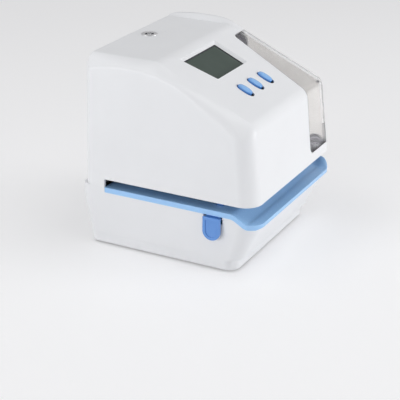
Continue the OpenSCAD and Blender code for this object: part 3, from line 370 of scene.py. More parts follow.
def rounded_polygon(corners, radius, count=5):
    """Outline through straight sides, with a soft corner of about the radius at each point."""
    corners = np.asarray(corners, float)
    points = []
    for before, here, after in zip(np.roll(corners, 1, 0), corners, np.roll(corners, -1, 0)):
        start = here + (before - here) * radius / np.linalg.norm(before - here)
        end = here + (after - here) * radius / np.linalg.norm(after - here)
        for t in np.linspace(0, 1, count + 1):
            points.append((1 - t) ** 2 * start + 2 * t * (1 - t) * here + t ** 2 * end)
    return np.array(points)


def at_height(outline, z):
    return np.column_stack([outline, np.full(len(outline), z)])


def ease(t):
    t = np.clip(t, 0, 1)
    return t * t * (3 - 2 * t)


SLOPE_FRAME = Matrix.Translation((0, BEND_Y, TOP_Z)) @ Matrix.Rotation(SLOPE, 4, "X")
FRONT_FRAME = Matrix.Translation((0, COVER_FRONT, SLOT_Z)) @ Matrix.Rotation(
    math.pi / 2 - math.atan(FRONT_LEAN), 4, "X")


def placed(points, matrix):
    """Points in mm moved by a matrix in mm."""
    m = np.array(matrix)
    return np.asarray(points, float) @ m[:3, :3].T + m[:3, 3]


def prism(name, outline, low, high, matrix=Matrix.Identity(4)):
    """Outline run from height low to height high."""
    points, faces = loft([at_height(outline, low), at_height(outline, high)])
    points = placed(points, matrix)
    return make_object(name, points, outward(points, faces))


def box_tool(x0, x1, y0, y1, z0, z1):
    return prism("tool", np.array([[x0, y0], [x1, y0], [x1, y1], [x0, y1]]), z0, z1)


def lathe(name, profile, x, y, z, count=64):
    """Closed profile of (radius, height) turned round an upright axis at (x, y), from height z."""
    profile = np.asarray(profile, float)
    rings = []
    for turn in np.linspace(0, 2 * math.pi, count, endpoint=False):
        rings.append(np.column_stack([x + profile[:, 0] * math.cos(turn),
                                      y + profile[:, 0] * math.sin(turn), z + profile[:, 1]]))
    return make_object(name, *loft(rings, closed=True))


def side_prism(name, outline, x0, x1):
    """Side view, as (y, z), run along X."""
    rings = [np.column_stack([np.full(len(outline), x), outline]) for x in (x0, x1)]
    return make_object(name, *loft(rings))


# ---- the cover's form ----

TAN = math.tan(SLOPE)
TOP_REACH = TOP_BEND_R * math.tan(SLOPE / 2)
TOP_HALF = half_at(TOP_Z)
SHOULDER_X = -TOP_HALF + SHOULDER_W
SHOULDER_END = -half_at(ARCH_Z)
RIDGE_X = TOP_HALF - RIDGE_W


def rounded_max(a, b, radius, cosine=0.0):
    """Distance outside two surfaces whose shared edge is rounded to the radius.

    cosine is that of the angle between their outward normals.
    """
    p, q = a + radius, b + radius
    on_arc = (p > q * cosine) & (q > p * cosine) & (p + q > 0)
    square = (p * p + q * q - 2 * p * q * cosine) / (1 - cosine * cosine)
    return np.where(on_arc, np.sqrt(np.maximum(square, 0)) - radius, np.maximum(a, b))


def profile_height(y):
    """Height of the flat top and the slope, with their soft bend."""
    start = BEND_Y + TOP_REACH
    back = np.clip(start - y, 0, TOP_BEND_R * math.sin(SLOPE))
    bend = TOP_Z - TOP_BEND_R + np.sqrt(TOP_BEND_R ** 2 - back ** 2)
    straight = np.maximum(start - y - TOP_BEND_R * math.sin(SLOPE), 0)
    return bend - straight * TAN


def arch_height(y):
    return ARCH_Z - ARCH_R + np.sqrt(np.maximum(ARCH_R ** 2 - (y - ARCH_Y) ** 2, 1))


def ridge_height(y):
    """Height of the rail's crest."""
    behind = np.clip((y - RIDGE_CREST) / (COVER_BACK - RIDGE_CREST), 0, 1.2)
    nose = np.maximum(RIDGE_NOSE_Y - y, 0)
    return (TOP_Z + RIDGE_H - (RIDGE_H - RIDGE_BACK_H) * behind ** 1.5
            - RIDGE_NOSE_DROP * nose ** 2)


def top_height(x, y):
    """Height of the cover's upper side."""
    height = profile_height(y)
    u = np.maximum((SHOULDER_X - x) / (SHOULDER_X - SHOULDER_END), 0)
    height = height - (profile_height(y) - arch_height(y)) * (0.45 * u + 0.55 * u * u)
    across = np.clip((x - RIDGE_X) / (RIDGE_W - RIDGE_TOP_W), 0, 1)
    rise = ridge_height(y) - profile_height(y)
    rise = (rise + np.sqrt(rise * rise + 1.0)) / 2 * ease((y - 2) / 6)
    height = height + rise * across
    groove = GROOVE_DEEP * np.exp(-((x - RIDGE_X) / GROOVE_W) ** 2)
    return height - groove * ease((y - 3) / 2)


def upright_faces(x, y, z):
    """Distance outside the four upright faces, the share of it that is sideways, and its normal."""
    half = half_at(z)
    left, right = -x - half, x - half
    front, back = front_at(z) - y, y - COVER_BACK
    best = np.full(np.shape(x), -np.inf)
    nx, ny = np.zeros_like(best), np.zeros_like(best)
    corners = ((left, front, -1, -1, CORNER_FRONT_LEFT), (right, front, 1, -1, CORNER_FRONT_RIGHT),
               (left, back, -1, 1, CORNER_BACK), (right, back, 1, 1, CORNER_BACK))
    for side, end, sx, sy, radius in corners:
        distance = rounded_max(side, end, radius)
        p, q = np.maximum(side + radius, 0), np.maximum(end + radius, 0)
        length = np.maximum(np.hypot(p, q), 1e-9)
        nearer = distance > best
        best = np.where(nearer, distance, best)
        nx = np.where(nearer, sx * p / length, nx)
        ny = np.where(nearer, sy * q / length, ny)
    return best, nx, ny


def cover_surface(x, y, z):
    """Distance outside the cover's outer form."""
    walls, nx, ny = upright_faces(x, y, z)
    step = 0.2
    height = top_height(x, y)
    slope_x = (top_height(x + step, y) - top_height(x - step, y)) / (2 * step)
    slope_y = (top_height(x, y + step) - top_height(x, y - step)) / (2 * step)
    length = np.sqrt(1 + slope_x ** 2 + slope_y ** 2)
    top = (z - height) / length
    is_left, is_right = np.maximum(-nx, 0) ** 2, np.maximum(nx, 0) ** 2
    is_front, is_back = np.maximum(-ny, 0) ** 2, np.maximum(ny, 0) ** 2
    left_r = ARCH_EDGE_R + (BEND_R - ARCH_EDGE_R) * ease((-5 - y) / 45)
    radius = is_left * left_r + is_right * 2.6 + is_front * BEND_R + is_back * 3.0
    radius = np.maximum(radius, 2.6)
    up = is_front * FRONT_LEAN + (is_left + is_right) * SIDE_DRAFT
    cosine = (-slope_x * nx - slope_y * ny + up) / length
    return rounded_max(top, walls, radius, np.clip(cosine, -0.3, 0.9))


def steps(length, head, tail, fine, coarse):
    """Distances from 0 to just under length, close together in its head and tail."""
    middle = length - head - tail
    count = max(1, round(middle / coarse))
    return np.concatenate([
        np.arange(0, head - 1e-6, fine),
        head + middle * np.arange(count) / count,
        length - tail + np.arange(0, tail - 1e-6, fine),
    ])


COVER_BOTTOM = COVER_FOOT - 12
COVER_HEART = np.array([0.0, 4.0, 112.0])


def side_outline(fine, coarse):
    """The cover's side view as a closed line of (y, z), with close points at its bends."""
    slope_front = (TOP_Z - BEND_Y * TAN - SLOT_Z + COVER_FRONT / FRONT_LEAN) / (
        1 / FRONT_LEAN - TAN)
    corners = [(COVER_BACK, COVER_BOTTOM, 0), (COVER_BACK, TOP_Z, 6), (BEND_Y, TOP_Z, 12),
               (slope_front, TOP_Z + (slope_front - BEND_Y) * TAN, 15),
               (front_at(COVER_BOTTOM), COVER_BOTTOM, 0)]
    points = []
    for a, b in zip(corners, corners[1:] + corners[:1]):
        start, end = np.array(a[:2]), np.array(b[:2])
        length = np.linalg.norm(end - start)
        for s in steps(length, a[2], b[2], fine, coarse):
            points.append(start + (end - start) * s / length)
    return np.array(points)


def wrapped_form(surface, fine, coarse):
    """Closed grid of points laid on a surface: a band round the side view, and two round ends."""
    outline = side_outline(fine, coarse)
    near = np.concatenate([np.arange(0, 12, fine / 2 if fine < 2 else fine),
                           np.arange(12, 24, fine)])
    crease = np.array([-1.1, -0.75, -0.4, -0.15, 0.15, 0.4, 0.75, 1.1]) if fine < 2 else np.array([])
    right = np.union1d(near, RIDGE_W + crease)
    middle = 2 * TOP_HALF - 48
    count = round(middle / coarse)
    lines = np.concatenate([near, 24 + middle * np.arange(count + 1) / count,
                            2 * TOP_HALF - right[::-1]]) / TOP_HALF - 1
    y, z = outline.T
    wide = half_at(z)
    band = np.stack(np.broadcast_arrays(lines[None, :] * wide[:, None], y[:, None], z[:, None]), 2)
    rows, columns = band.shape[:2]
    points = [band.reshape(-1, 3)]
    faces = []
    for i in range(rows):
        j = (i + 1) % rows
        for k in range(columns - 1):
            faces.append((i * columns + k, i * columns + k + 1, j * columns + k + 1, j * columns + k))
    reach = 68.0
    depths = np.concatenate([near[1:], [24, 28, 34, 42, 54]])
    used = rows * columns
    for sign, column in ((-1, 0), (1, columns - 1)):
        last = [i * columns + column for i in range(rows)]
        for depth in depths:
            share = 1 - depth / reach
            ring_y = COVER_HEART[1] + share * (y - COVER_HEART[1])
            ring_z = COVER_HEART[2] + share * (z - COVER_HEART[2])
            points.append(np.column_stack([sign * half_at(ring_z), ring_y, ring_z]))
            ring = list(range(used, used + rows))
            used += rows
            for i in range(rows):
                j = (i + 1) % rows
                quad = (last[i], last[j], ring[j], ring[i])
                faces.append(quad if sign < 0 else quad[::-1])
            last = ring
        points.append(np.array([[sign * half_at(COVER_HEART[2]), COVER_HEART[1], COVER_HEART[2]]]))
        for i in range(rows):
            face = (last[i], last[(i + 1) % rows], used)
            faces.append(face if sign < 0 else face[::-1])
        used += 1
    samples = np.concatenate(points)
    return onto(samples, surface, COVER_HEART), faces


def onto(samples, surface, heart):
    """Moves each sample along its ray from the heart until it lies on the surface."""
    near, far = np.full(len(samples), 0.3), np.full(len(samples), 1.6)
    rays = samples - heart
    for _ in range(36):
        middle = (near + far) / 2
        outside = surface(*(heart + middle[:, None] * rays).T) > 0
        far = np.where(outside, middle, far)
        near = np.where(outside, near, middle)
    return heart + near[:, None] * rays


def cover_shell(name):
    """The cover's wall before anything is cut from it."""
    outside, outside_faces = wrapped_form(
        lambda x, y, z: np.maximum(cover_surface(x, y, z), COVER_BOTTOM - z), 1.0, 5.0)
    inside, inside_faces = wrapped_form(
        lambda x, y, z: np.maximum(cover_surface(x, y, z) + WALL, COVER_BOTTOM + WALL - z),
        2.0, 8.0)
    outside_faces = outward(outside, outside_faces)
    inside_faces = outward(inside, inside_faces)
    shift = len(outside)
    faces = outside_faces + [tuple(k + shift for k in reversed(f)) for f in inside_faces]
    shell = make_object(name, np.concatenate([outside, inside]), faces)
    cut(shell, box_tool(-120, 120, -120, SLOT_BACK, 0, SLOT_Z))
    cut(shell, box_tool(-120, 120, -120, 120, 0, COVER_FOOT))
    return shell


def window_zone(grow):
    """Tool of the window's space, larger all round by grow."""
    top_x = TOP_HALF - WIN_W_TOP
    low_x = half_at(SLOT_Z) - WIN_W - 2
    past = HALF_W + 10
    side = half_at(SLOT_Z) - WALL - 0.5
    bend = bend_centre()
    slope_l = (BEND_Y - bend[0] + BEND_R * math.sin(SLOPE)) / math.cos(SLOPE)
    upper = np.concatenate([
        arc(top_x - grow + WIN_R, -WIN_TOP + grow - WIN_R, WIN_R, 180, 90, 12),
        [[past, -WIN_TOP + grow], [past, -slope_l - 2 * BEND_R],
         [low_x - grow, -slope_l - 2 * BEND_R], [low_x - grow, -slope_l]]])[::-1]
    zone = prism("zone", upper, -WIN_FLANGE - grow, 6, SLOPE_FRAME)
    lower = np.concatenate([
        arc(low_x - grow + WIN_R, WIN_SILL - grow + WIN_R, WIN_R, 180, 270, 12),
        [[side + grow, WIN_SILL - grow], [side + grow, WIN_FLANGE_Z - grow],
         [past, WIN_FLANGE_Z - grow], [past, bend[1] - SLOT_Z + 3],
         [low_x - grow, bend[1] - SLOT_Z + 3]]])
    return cut(zone, prism("tool", lower, -WIN_FLANGE - grow, 6, FRONT_FRAME), "UNION")


def bend_centre():
    """(y, z) of the centre of the bend between the slope and the front face."""
    lean = math.atan(FRONT_LEAN)
    slope_n = np.array([-math.sin(SLOPE), math.cos(SLOPE)])
    front_n = np.array([-math.cos(lean), math.sin(lean)])
    sides = np.array([slope_n @ [BEND_Y, TOP_Z] - BEND_R, front_n @ [COVER_FRONT, SLOT_Z] - BEND_R])
    return np.linalg.solve(np.stack([slope_n, front_n]), sides)


def display_plan(grow, more=0.0):
    """The display's outline, larger all round by grow, and by more above and to the right."""
    above = -LCD_TOP + grow + more
    below = -LCD_TOP - LCD_L - grow
    right = -LCD_LEFT + LCD_W / 2 + grow + more
    left = -LCD_LEFT - LCD_W / 2 - grow
    return rounded_polygon([(left - LCD_SLANT / 2, above), (left + LCD_SLANT / 2, below),
                            (right, below), (right, above)], LCD_R)


def display_tool():
    """The display's opening: bevelled above and to the right, nearly upright elsewhere."""
    rings = []
    levels = ((1.0, LCD_RIM + 0.9, LCD_BEVEL), (0.0, LCD_RIM + 0.2, LCD_BEVEL),
              (-0.35, LCD_RIM, LCD_BEVEL - 0.35), (-LCD_BEVEL + 0.1, 0.0, 0.1), (-6.0, 0.0, 0.0))
    for z, grow, more in levels:
        rings.append(at_height(display_plan(grow, more), z))
    points, faces = loft(rings)
    points = placed(points, SLOPE_FRAME)
    return make_object("tool", points, outward(points, faces))


def button_x(i):
    return -BTN_LEFT + i * BTN_PITCH


def button_tool(i):
    """A button's hole. Its front end is upright, so that the cover lifts off straight."""
    rings = []
    levels = ((1.0, 0.9), (0.0, 0.2), (-0.25, 0.0), (-0.8, 0.0), (-0.85, 1.2), (-WALL - 1, 1.2))
    for z, grow in levels:
        outline = oval(BTN_L + 2 * (BTN_GAP + grow), BTN_W + 2 * (BTN_GAP + grow), power=BTN_POWER)
        outline[outline[:, 1] < 0, 1] -= (BTN_H - min(z, 0)) * TAN + BTN_FRONT_GAP
        outline += [button_x(i), -BTN_S]
        rings.append(at_height(outline, z))
    points, faces = loft(rings)
    points = placed(points, SLOPE_FRAME)
    return make_object("tool", points, outward(points, faces))


def make_cover():
    cover = cover_shell("cover_skin")
    notch = (PANEL_HIGH[0] + 1, COVER_BACK - CORNER_BACK - 1, PANEL_HIGH[2] + 1)
    cut(cover, box_tool(-notch[0], notch[0], notch[1], 120, 0, notch[2]))
    cut(cover, window_zone(WIN_SEAM))
    cut(cover, display_tool())
    for i in (-1, 0, 1):
        cut(cover, button_tool(i))
    lock = joint_of("lock_turn")["pos_m"]
    sleeve = node_box("lock_nut")
    hole = 5.6
    cut(cover, prism("tool", arc(lock[0] / MM, lock[1] / MM, hole, 0, 352.5, 47),
                     sleeve[0][2] - 5, TOP_Z + 10))
    dimple = [at_height(arc(*DIMPLE, radius, 0, 345, 23), height)
              for radius, height in ((0.5 * DIMPLE_R, TOP_Z - 0.7), (DIMPLE_R, TOP_Z + 0.1))]
    cut(cover, make_object("tool", *loft(dimple)))
    set_normals(cover, cover_surface)
    return dress(cover, "cover", "white_plastic", "top_cover")


def make_window():
    window = cover_shell("clear_window")
    cut(window, window_zone(0), "INTERSECT")
    set_normals(window, cover_surface)
    dress(window, "cover", "clear_plastic", "window")
    # The window's cut edge faces take a near-black look: painted shade of the seam round it.
    window.data.materials.append(MATERIALS["seam_shade"])
    middles = np.array([face.center for face in window.data.polygons]) / MM
    depth = -cover_surface(*middles.T)
    for face, inside in zip(window.data.polygons, (depth > 0.1) & (depth < WALL - 0.1)):
        face.material_index = int(inside)
    return window


def make_shade_plates():
    """Dark plates past both ends of the print unit's guard, seen through the window beside its pale
    middle: painted shade of the dark interior there.
    """
    inner = node_box("print_unit_shield")[1][0] - 1.5
    # Near-black plate under the window's upper end: painted shade.
    upper = prism("shade_plate_top", rounded_polygon(
        [(TOP_HALF - WIN_W_TOP - 4, -5), (inner - 1, -5), (inner - 1, -40), (SHADE_PLATE_LEFT, -40)], 1.0),
        -SHADE_PLATE_DEEP - SHADE_PLATE_T, -SHADE_PLATE_DEEP, SLOPE_FRAME)
    smooth_by_angle(upper, 30)
    dress(upper, "machine", "dark_plastic", look="shade_plate_plastic")
    # Near-black plate behind the window's lower end: painted shade, with raised arcs and a pale pad on
    # it.
    left = half_at(SLOT_Z) - WIN_W - 5
    lower = prism("shade_plate_foot", rounded_polygon(
        [(left, 2), (inner, 2), (inner, 34), (left, 34)], 1.0),
        -SHADE_PLATE_DEEP - SHADE_PLATE_T, -SHADE_PLATE_DEEP, FRONT_FRAME)
    smooth_by_angle(lower, 30)
    dress(lower, "machine", "dark_plastic", look="shade_plate_plastic")
    for name, radius, wide, high in (("guard_rib", 45.6, 1.0, 1.2), ("guard_step", 40.5, 0.7, 0.8)):
        turns = (88, 40)
        outer = arc(left + 8, -24, radius, *turns, 24)
        outline = np.concatenate([outer, arc(left + 8, -24, radius - wide, *turns[::-1], 24)])
        outline = outline[outline[:, 0] < inner]
        rib = prism(name, outline, -SHADE_PLATE_DEEP - 0.2, -SHADE_PLATE_DEEP + high, FRONT_FRAME)
        smooth_by_angle(rib, 30)
        dress(rib, "machine", "dark_plastic", look="grey_plastic")
    pad = prism("guard_pad", rounded_polygon([(60, 1.5), (73, 1.5), (73, 9), (60, 12)], 0.8),
                -SHADE_PLATE_DEEP - 0.2, -SHADE_PLATE_DEEP + 0.8, FRONT_FRAME)
    round_edges(pad, 0.2, 2)
    dress(pad, "machine", "white_plastic")


def make_lock():
    """The lock's round flange and, in it, a black ring round the keyed face: painted shade of the deep
    groove there.
    """
    x, y = (v / MM for v in joint_of("lock_turn")["pos_m"][:2])
    low, high = node_box("lock_sleeve")
    flange = high[2] - TOP_Z
    outer = (high[1] - low[1]) / 2
    bore = LOCK_RING_R + 0.35
    foot = low[2] - TOP_Z
    sleeve = lathe("lock_sleeve_finish", [
        (LOCK_NECK_R, foot), (LOCK_NECK_R, 0.02), (outer - 0.15, 0.02), (outer, 0.2),
        (outer - 0.1, 0.55), (outer - 0.5, flange - 0.12), (outer - 1.0, flange), (bore + 0.9, flange),
        (bore + 0.3, flange - 0.15), (bore, flange - 0.5), (bore, foot)], x, y, TOP_Z)
    smooth_by_angle(sleeve, 50)
    dress(sleeve, "cover", "bright_steel", "lock_sleeve", look="satin_nickel")
    foot = node_box("lock_barrel")[0][2] - TOP_Z
    face = flange - 0.35
    barrel = lathe("lock_barrel_finish", [
        (0.001, foot), (LOCK_RING_R + 0.25, foot), (LOCK_RING_R + 0.25, face - 1.6),
        (LOCK_FACE_R, face - 1.6), (LOCK_FACE_R, face - 0.2), (LOCK_FACE_R - 0.2, face),
        (0.001, face)], x, y, TOP_Z)
    cut(barrel, box_tool(x - 1.6, x + 1.6, y - 0.35, y + 0.35, TOP_Z + face - 1.5, TOP_Z + 5))
    smooth_by_angle(barrel, 40)
    dress(barrel, "lock", "bright_steel", "lock_barrel")
    # A near-black ring fills the groove round the keyed face: painted shade of the groove.
    ring = lathe("lock_ring", [
        (LOCK_FACE_R + 0.05, face - 1.6), (LOCK_RING_R + 0.25, face - 1.6),
        (LOCK_RING_R + 0.25, face - 0.15), (LOCK_RING_R, face), (LOCK_RING_R - 0.4, face),
        (LOCK_FACE_R + 0.3, face - 0.7), (LOCK_FACE_R + 0.05, face - 0.7)], x, y, TOP_Z)
    smooth_by_angle(ring, 40)
    dress(ring, "lock", "dark_plastic")


# ---- the base ----


def base_sections():
    """Heights of the base with its half width, front, back and front corner radius there."""
    def wide(z):
        return PLINTH_HALF + (HALF_W - PLINTH_HALF) * (z - FOOT_H) / (BASE_TOP - FOOT_H)
    ledge = FOOT_H + PLINTH_H
    flare = ledge + 2
    swell = BASE_TOP - 9
    top = BASE_TOP + 12
    corners = [
        (FOOT_H, PLINTH_HALF, PLINTH_Y, PLINTH_BACK, PLINTH_R),
        (ledge, wide(ledge), PLINTH_Y, PLINTH_BACK, PLINTH_R),
        (flare, wide(flare) + 0.4, PLINTH_Y - FLARE_FOOT, PLINTH_BACK, PLINTH_R + 1),
        (swell, wide(swell), COVER_FRONT + 0.5, BASE_BACK, CORNER_FRONT_LEFT),
        (top, HALF_W, COVER_FRONT, BASE_BACK, CORNER_FRONT_LEFT),
    ]
    corners = [np.array(c) for c in corners]
    soft = {2: 1.6, 3: 9.0}
    rows = [corners[0]]
    for i in range(1, len(corners) - 1):
        if i not in soft:
            rows.append(corners[i])
            continue
        before, here, after = corners[i - 1:i + 2]
        start = here + (before - here) * min(0.5, soft[i] / (here[0] - before[0]) / 2)
        end = here + (after - here) * min(0.5, soft[i] / (after[0] - here[0]))
        for t in np.linspace(0, 1, 9):
            rows.append((1 - t) ** 2 * start + 2 * t * (1 - t) * here + t ** 2 * end)
    rows.append(corners[-1])
    return np.array(rows)


BASE_ROWS = base_sections()


def base_surface(x, y, z):
    """Distance outside the base's outer form."""
    half, front, back, radius = (np.interp(z, BASE_ROWS[:, 0], BASE_ROWS[:, k]) for k in range(1, 5))
    sides = (rounded_max(np.abs(x) - half, front - y, radius),
             rounded_max(np.abs(x) - half, y - back, CORNER_BACK))
    return np.maximum(*sides)


def base_form(name, inset):
    rings = []
    for z, half, front, back, radius in BASE_ROWS:
        outline = rounded_plan(-half + inset, half - inset, front + inset, back - inset,
                               [radius - inset] * 2 + [CORNER_BACK - inset] * 2, 16)
        rings.append(at_height(outline, z))
    return make_object(name, *loft(rings))


def table_line(z, count=28):
    """Side view of the table's surface, from its lip to the end of its curve."""
    t = np.linspace(0, 1, count + 1)
    curve = np.column_stack([TABLE_CURVE_AT + TABLE_CURVE * t, z - TABLE_DROP * (1 - ease(t))])
    return np.concatenate([[[LIP_Y - 1, z - TABLE_DROP]], curve])


def make_base():
    base = base_form("base_skin", 0)
    hollow = base_form("tool", WALL)
    cut(base, hollow)
    back, ahead = SLOT_BACK + 0.3, LIP_Y - 10
    seat = np.concatenate([table_line(BASE_TOP), [[back, BASE_TOP], [back, 90], [ahead, 90],
                                                  [ahead, BASE_TOP - TABLE_DROP]]])
    cut(base, side_prism("tool", seat, -100, 100))
    seam = BASE_HIGH[2]
    cut(base, box_tool(-100, 100, 0, 100, seam, 90))
    panel = PANEL_HIGH[0] + 1
    cut(base, box_tool(-panel, panel, BASE_BACK - CORNER_BACK - 1, 100, seam - 6, 90))
    pin = joint_of("stop_lever_swing")["pos_m"]
    tab_low, tab_high = node_box("stop_lever")
    gap = 0.75
    cut(base, box_tool(-100, pin[0] / MM + 4, tab_low[1] - gap, tab_high[1] + gap,
                       pin[2] / MM - 4.4, 90))
    jack_low, jack_high = node_box("power_jack")
    centre = (jack_low + jack_high) / 2
    bore = jack_high[0] - centre[0]
    hole = arc(centre[0], centre[2], bore - 0.9, 0, 352.5, 47)
    rings = [np.column_stack([hole[:, 0], np.full(len(hole), y), hole[:, 1]]) for y in (60, 100)]
    cut(base, make_object("tool", *loft(rings)))
    set_normals(base, base_surface)
    return dress(base, "machine", "white_plastic", "base_shell")


# ---- the paper table ----


def table_end():
    """The right end, which sweeps up from the table's line to a raised, rounded nose."""
    y = np.concatenate([LIP_Y + CURB_L * np.linspace(0, 1, 13), np.linspace(-75, SLOT_BACK, 16)])
    low = TABLE_Z - TABLE_DROP * (1 - ease((y - TABLE_CURVE_AT) / TABLE_CURVE))
    forward = np.clip(1 - (y - LIP_Y) / CURB_L, 0, 1)
    high = TABLE_Z - TABLE_DROP * (1 - np.sqrt(1 - forward ** 2))
    foot = low - 1.5
    rings = []
    for t in np.linspace(0, 1.5, 19):
        x = HALF_W - CURB_W + CURB_W * t
        top = low + (high - low) * ease(t) + 0.01
        rings.append(np.column_stack([np.full(2 * len(y), x), np.concatenate([y, y[::-1]]),
                                      np.concatenate([top, foot[::-1]])]))
    return make_object("tool", *loft(rings))


def make_table():
    upper, lower = table_line(TABLE_Z), table_line(BASE_TOP)
    lower[0, 1] += LIP_THIN
    lower = np.insert(lower, 1, [COVER_FRONT, BASE_TOP - TABLE_DROP], axis=0)
    outline = np.concatenate([lower, [[SLOT_BACK + 5, BASE_TOP], [SLOT_BACK + 5, TABLE_Z]], upper[::-1]])
    table = side_prism("table_top", outline, -HALF_W - 5, HALF_W + 5)
    cut(table, table_end(), "UNION")
    plan = rounded_plan(-HALF_W, HALF_W, LIP_Y, SLOT_BACK, [TABLE_R, TABLE_R, 0.5, 0.5], 20)
    cut(table, prism("tool", plan, 0, 100), "INTERSECT")
    platen_low, platen_high = node_box("platen")
    cut(table, box_tool(platen_low[0] - 0.1, platen_high[0] + 0.1, platen_low[1] - 0.1,
                        platen_high[1] + 0.1, platen_low[2], 90))
    lever_low, lever_high = node_box("stop_lever")
    finger = lever_high[0] - 1
    middle = (lever_low[1] + lever_high[1]) / 2
    cut(table, box_tool(finger - 2.6, finger + 5.4, middle - 3.8, middle + 3.8, 0, 90))
    round_edges(table, 1.3, 4)
    return dress(table, "machine", "blue_plastic", "paper_table")


# ---- buttons ----


def make_button(name, i):
    """A domed cap with its flange and stem."""
    rings = []
    dome = ((0.0, 0.02), (0.35, 0.0), (0.62, -0.07), (0.8, -0.18), (0.9, -0.34), (0.96, -0.58),
            (0.99, -0.85), (1.0, -1.15), (1.0, -BTN_H - 0.5))
    for share, drop in dome:
        crown = BTN_CROWN * (1 - share ** 2)
        share = max(share, 0.01)
        rings.append(at_height(oval(BTN_L * share, BTN_W * share, power=BTN_POWER),
                               BTN_H - BTN_CROWN + crown + drop))
    flange = -BTN_FLANGE_H
    rings.append(at_height(oval(BTN_L, BTN_W, power=BTN_POWER), -1.5))
    rings.append(at_height(oval(BTN_L, BTN_W), -2.0))
    rings.append(at_height(oval(BTN_L, BTN_W), flange))
    rings.append(at_height(oval(BTN_L + 2, BTN_W + 3), flange))
    rings.append(at_height(oval(BTN_L + 2, BTN_W + 3), flange - BTN_FLANGE_T))
    rings.append(at_height(oval(4, 4), flange - BTN_FLANGE_T))
    low = node_box(name)[0]
    foot = -(TOP_Z - math.sin(SLOPE) * BTN_S - low[2]) / math.cos(SLOPE) + 0.8
    rings.append(at_height(oval(4, 4), foot))
    points, faces = loft(rings)
    points = placed(points, SLOPE_FRAME @ Matrix.Translation((button_x(i), -BTN_S, 0)))
    button = make_object(name + "_cap", points, outward(points, faces))
    smooth_by_angle(button, 40)
    return dress(button, name, "blue_plastic", name, look="button_plastic")


# ---- solids with their edges rounded ----


EDGE_WIDTHS = {
    "stop_lever": 0.7, "rear_panel": 0.9, "rear_frame": 0.3, "upper_deck": 0.3,
    "left_side_plate": 0.3, "right_side_plate": 0.3, "carriage": 0.8, "belt_clamp": 0.4,
    "print_head": 0.35, "motor_bracket": 0.3, "carriage_motor": 0.8, "ribbon_cartridge": 0.6,
    "cartridge_lid": 0.4, "print_unit_shield": 0.35, "display_bracket": 0.3, "lcd_module": 0.4,
    "button_board": 0.15, "button_switches": 0.4, "main_board": 0.15, "board_parts": 0.4,
    "backup_battery": 0.9, "buzzer": 0.5, "power_jack": 0.5, "lock_catch": 0.3,
    "sensor_bracket": 0.3, "sensor_switch": 0.4, "sensor_lever": 0.3,
    "lock_nut": 0.4, "lock_cam": 0.3, "ribbon_knob": 0.5,
    "feed_roller": 0.3, "pinch_roller": 0.3, "rubber_feet": 0.5, "bottom_plate": 0.3,
    "platen": 0.25, "drive_pulley": 0.25, "idler_pulley": 0.25, "carriage_bushes": 0.2,
    "print_lamp": 0.5, "drive_belt": 0.2,
}


SOLID_LOOKS = {"display_bracket": "black_steel", "stop_lever": "tab_plastic",
               "ribbon_knob": "tab_plastic"}


def slot_of(node):
    """The record's material slot of a solid."""
    return next(s["material_slot"] for s in frame["record"]["subparts"] if s["node"] == node)


def body_of(node):
    """The record's body that holds a solid."""
    for body, members in frame["record"]["behaviour"]["bodies"].items():
        if node in members:
            return body
    raise KeyError(node)


def refine_solids():
    """A copy of each plain solid with its edges rounded stands for it."""
    for node, width in EDGE_WIDTHS.items():
        piece = bpy.data.objects.new(node + "_finish", frame["nodes"][node].data.copy())
        bpy.context.scene.collection.objects.link(piece)
        round_edges(piece, width, 2)
        dress(piece, body_of(node), slot_of(node), node, look=SOLID_LOOKS.get(node))


# ---- materials ----


def principled(name, colour, roughness, **sockets):
    """A material with its shader, and its tree to add to."""
    material = bpy.data.materials.new(name)
    material.use_nodes = True
    tree = material.node_tree
    shader = tree.nodes["Principled BSDF"]
    shader.inputs["Base Color"].default_value = (*colour, 1)
    shader.inputs["Roughness"].default_value = roughness
    for socket, value in sockets.items():
        shader.inputs[socket.replace("_", " ")].default_value = value
    return material, tree, shader


def noise(tree, scale, detail=3.0, stretch=(1, 1, 1)):
    """Factor of a noise laid over the object, with scale in features per metre."""
    place = tree.nodes.new("ShaderNodeTexCoord")
    mapping = tree.nodes.new("ShaderNodeMapping")
    mapping.inputs["Scale"].default_value = stretch
    texture = tree.nodes.new("ShaderNodeTexNoise")
    texture.inputs["Scale"].default_value = scale
    texture.inputs["Detail"].default_value = detail
    tree.links.new(place.outputs["Object"], mapping.inputs["Vector"])
    tree.links.new(mapping.outputs["Vector"], texture.inputs["Vector"])
    return texture.outputs["Fac"]


def ramp(tree, factor, low, high, dark, light):
    """Colours from dark to light as the factor goes from low to high."""
    node = tree.nodes.new("ShaderNodeValToRGB")
    node.color_ramp.elements[0].position = low
    node.color_ramp.elements[1].position = high
    node.color_ramp.elements[0].color = (*dark, 1)
    node.color_ramp.elements[1].color = (*light, 1)
    tree.links.new(factor, node.inputs["Fac"])
    return node.outputs["Color"]


def spread(tree, factor, low, high):
    """The factor moved to run from low to high."""
    node = tree.nodes.new("ShaderNodeMapRange")
    node.inputs["To Min"].default_value = low
    node.inputs["To Max"].default_value = high
    tree.links.new(factor, node.inputs["Value"])
    return node.outputs["Result"]


def roughen(tree, shader, factor, strength, depth):
    """Bump of a depth in mm."""
    node = tree.nodes.new("ShaderNodeBump")
    node.inputs["Strength"].default_value = strength
    node.inputs["Distance"].default_value = depth * MM
    tree.links.new(factor, node.inputs["Height"])
    tree.links.new(node.outputs["Normal"], shader.inputs["Normal"])


def tint(colour, amount):
    return tuple(min(1.0, c * amount) for c in colour)


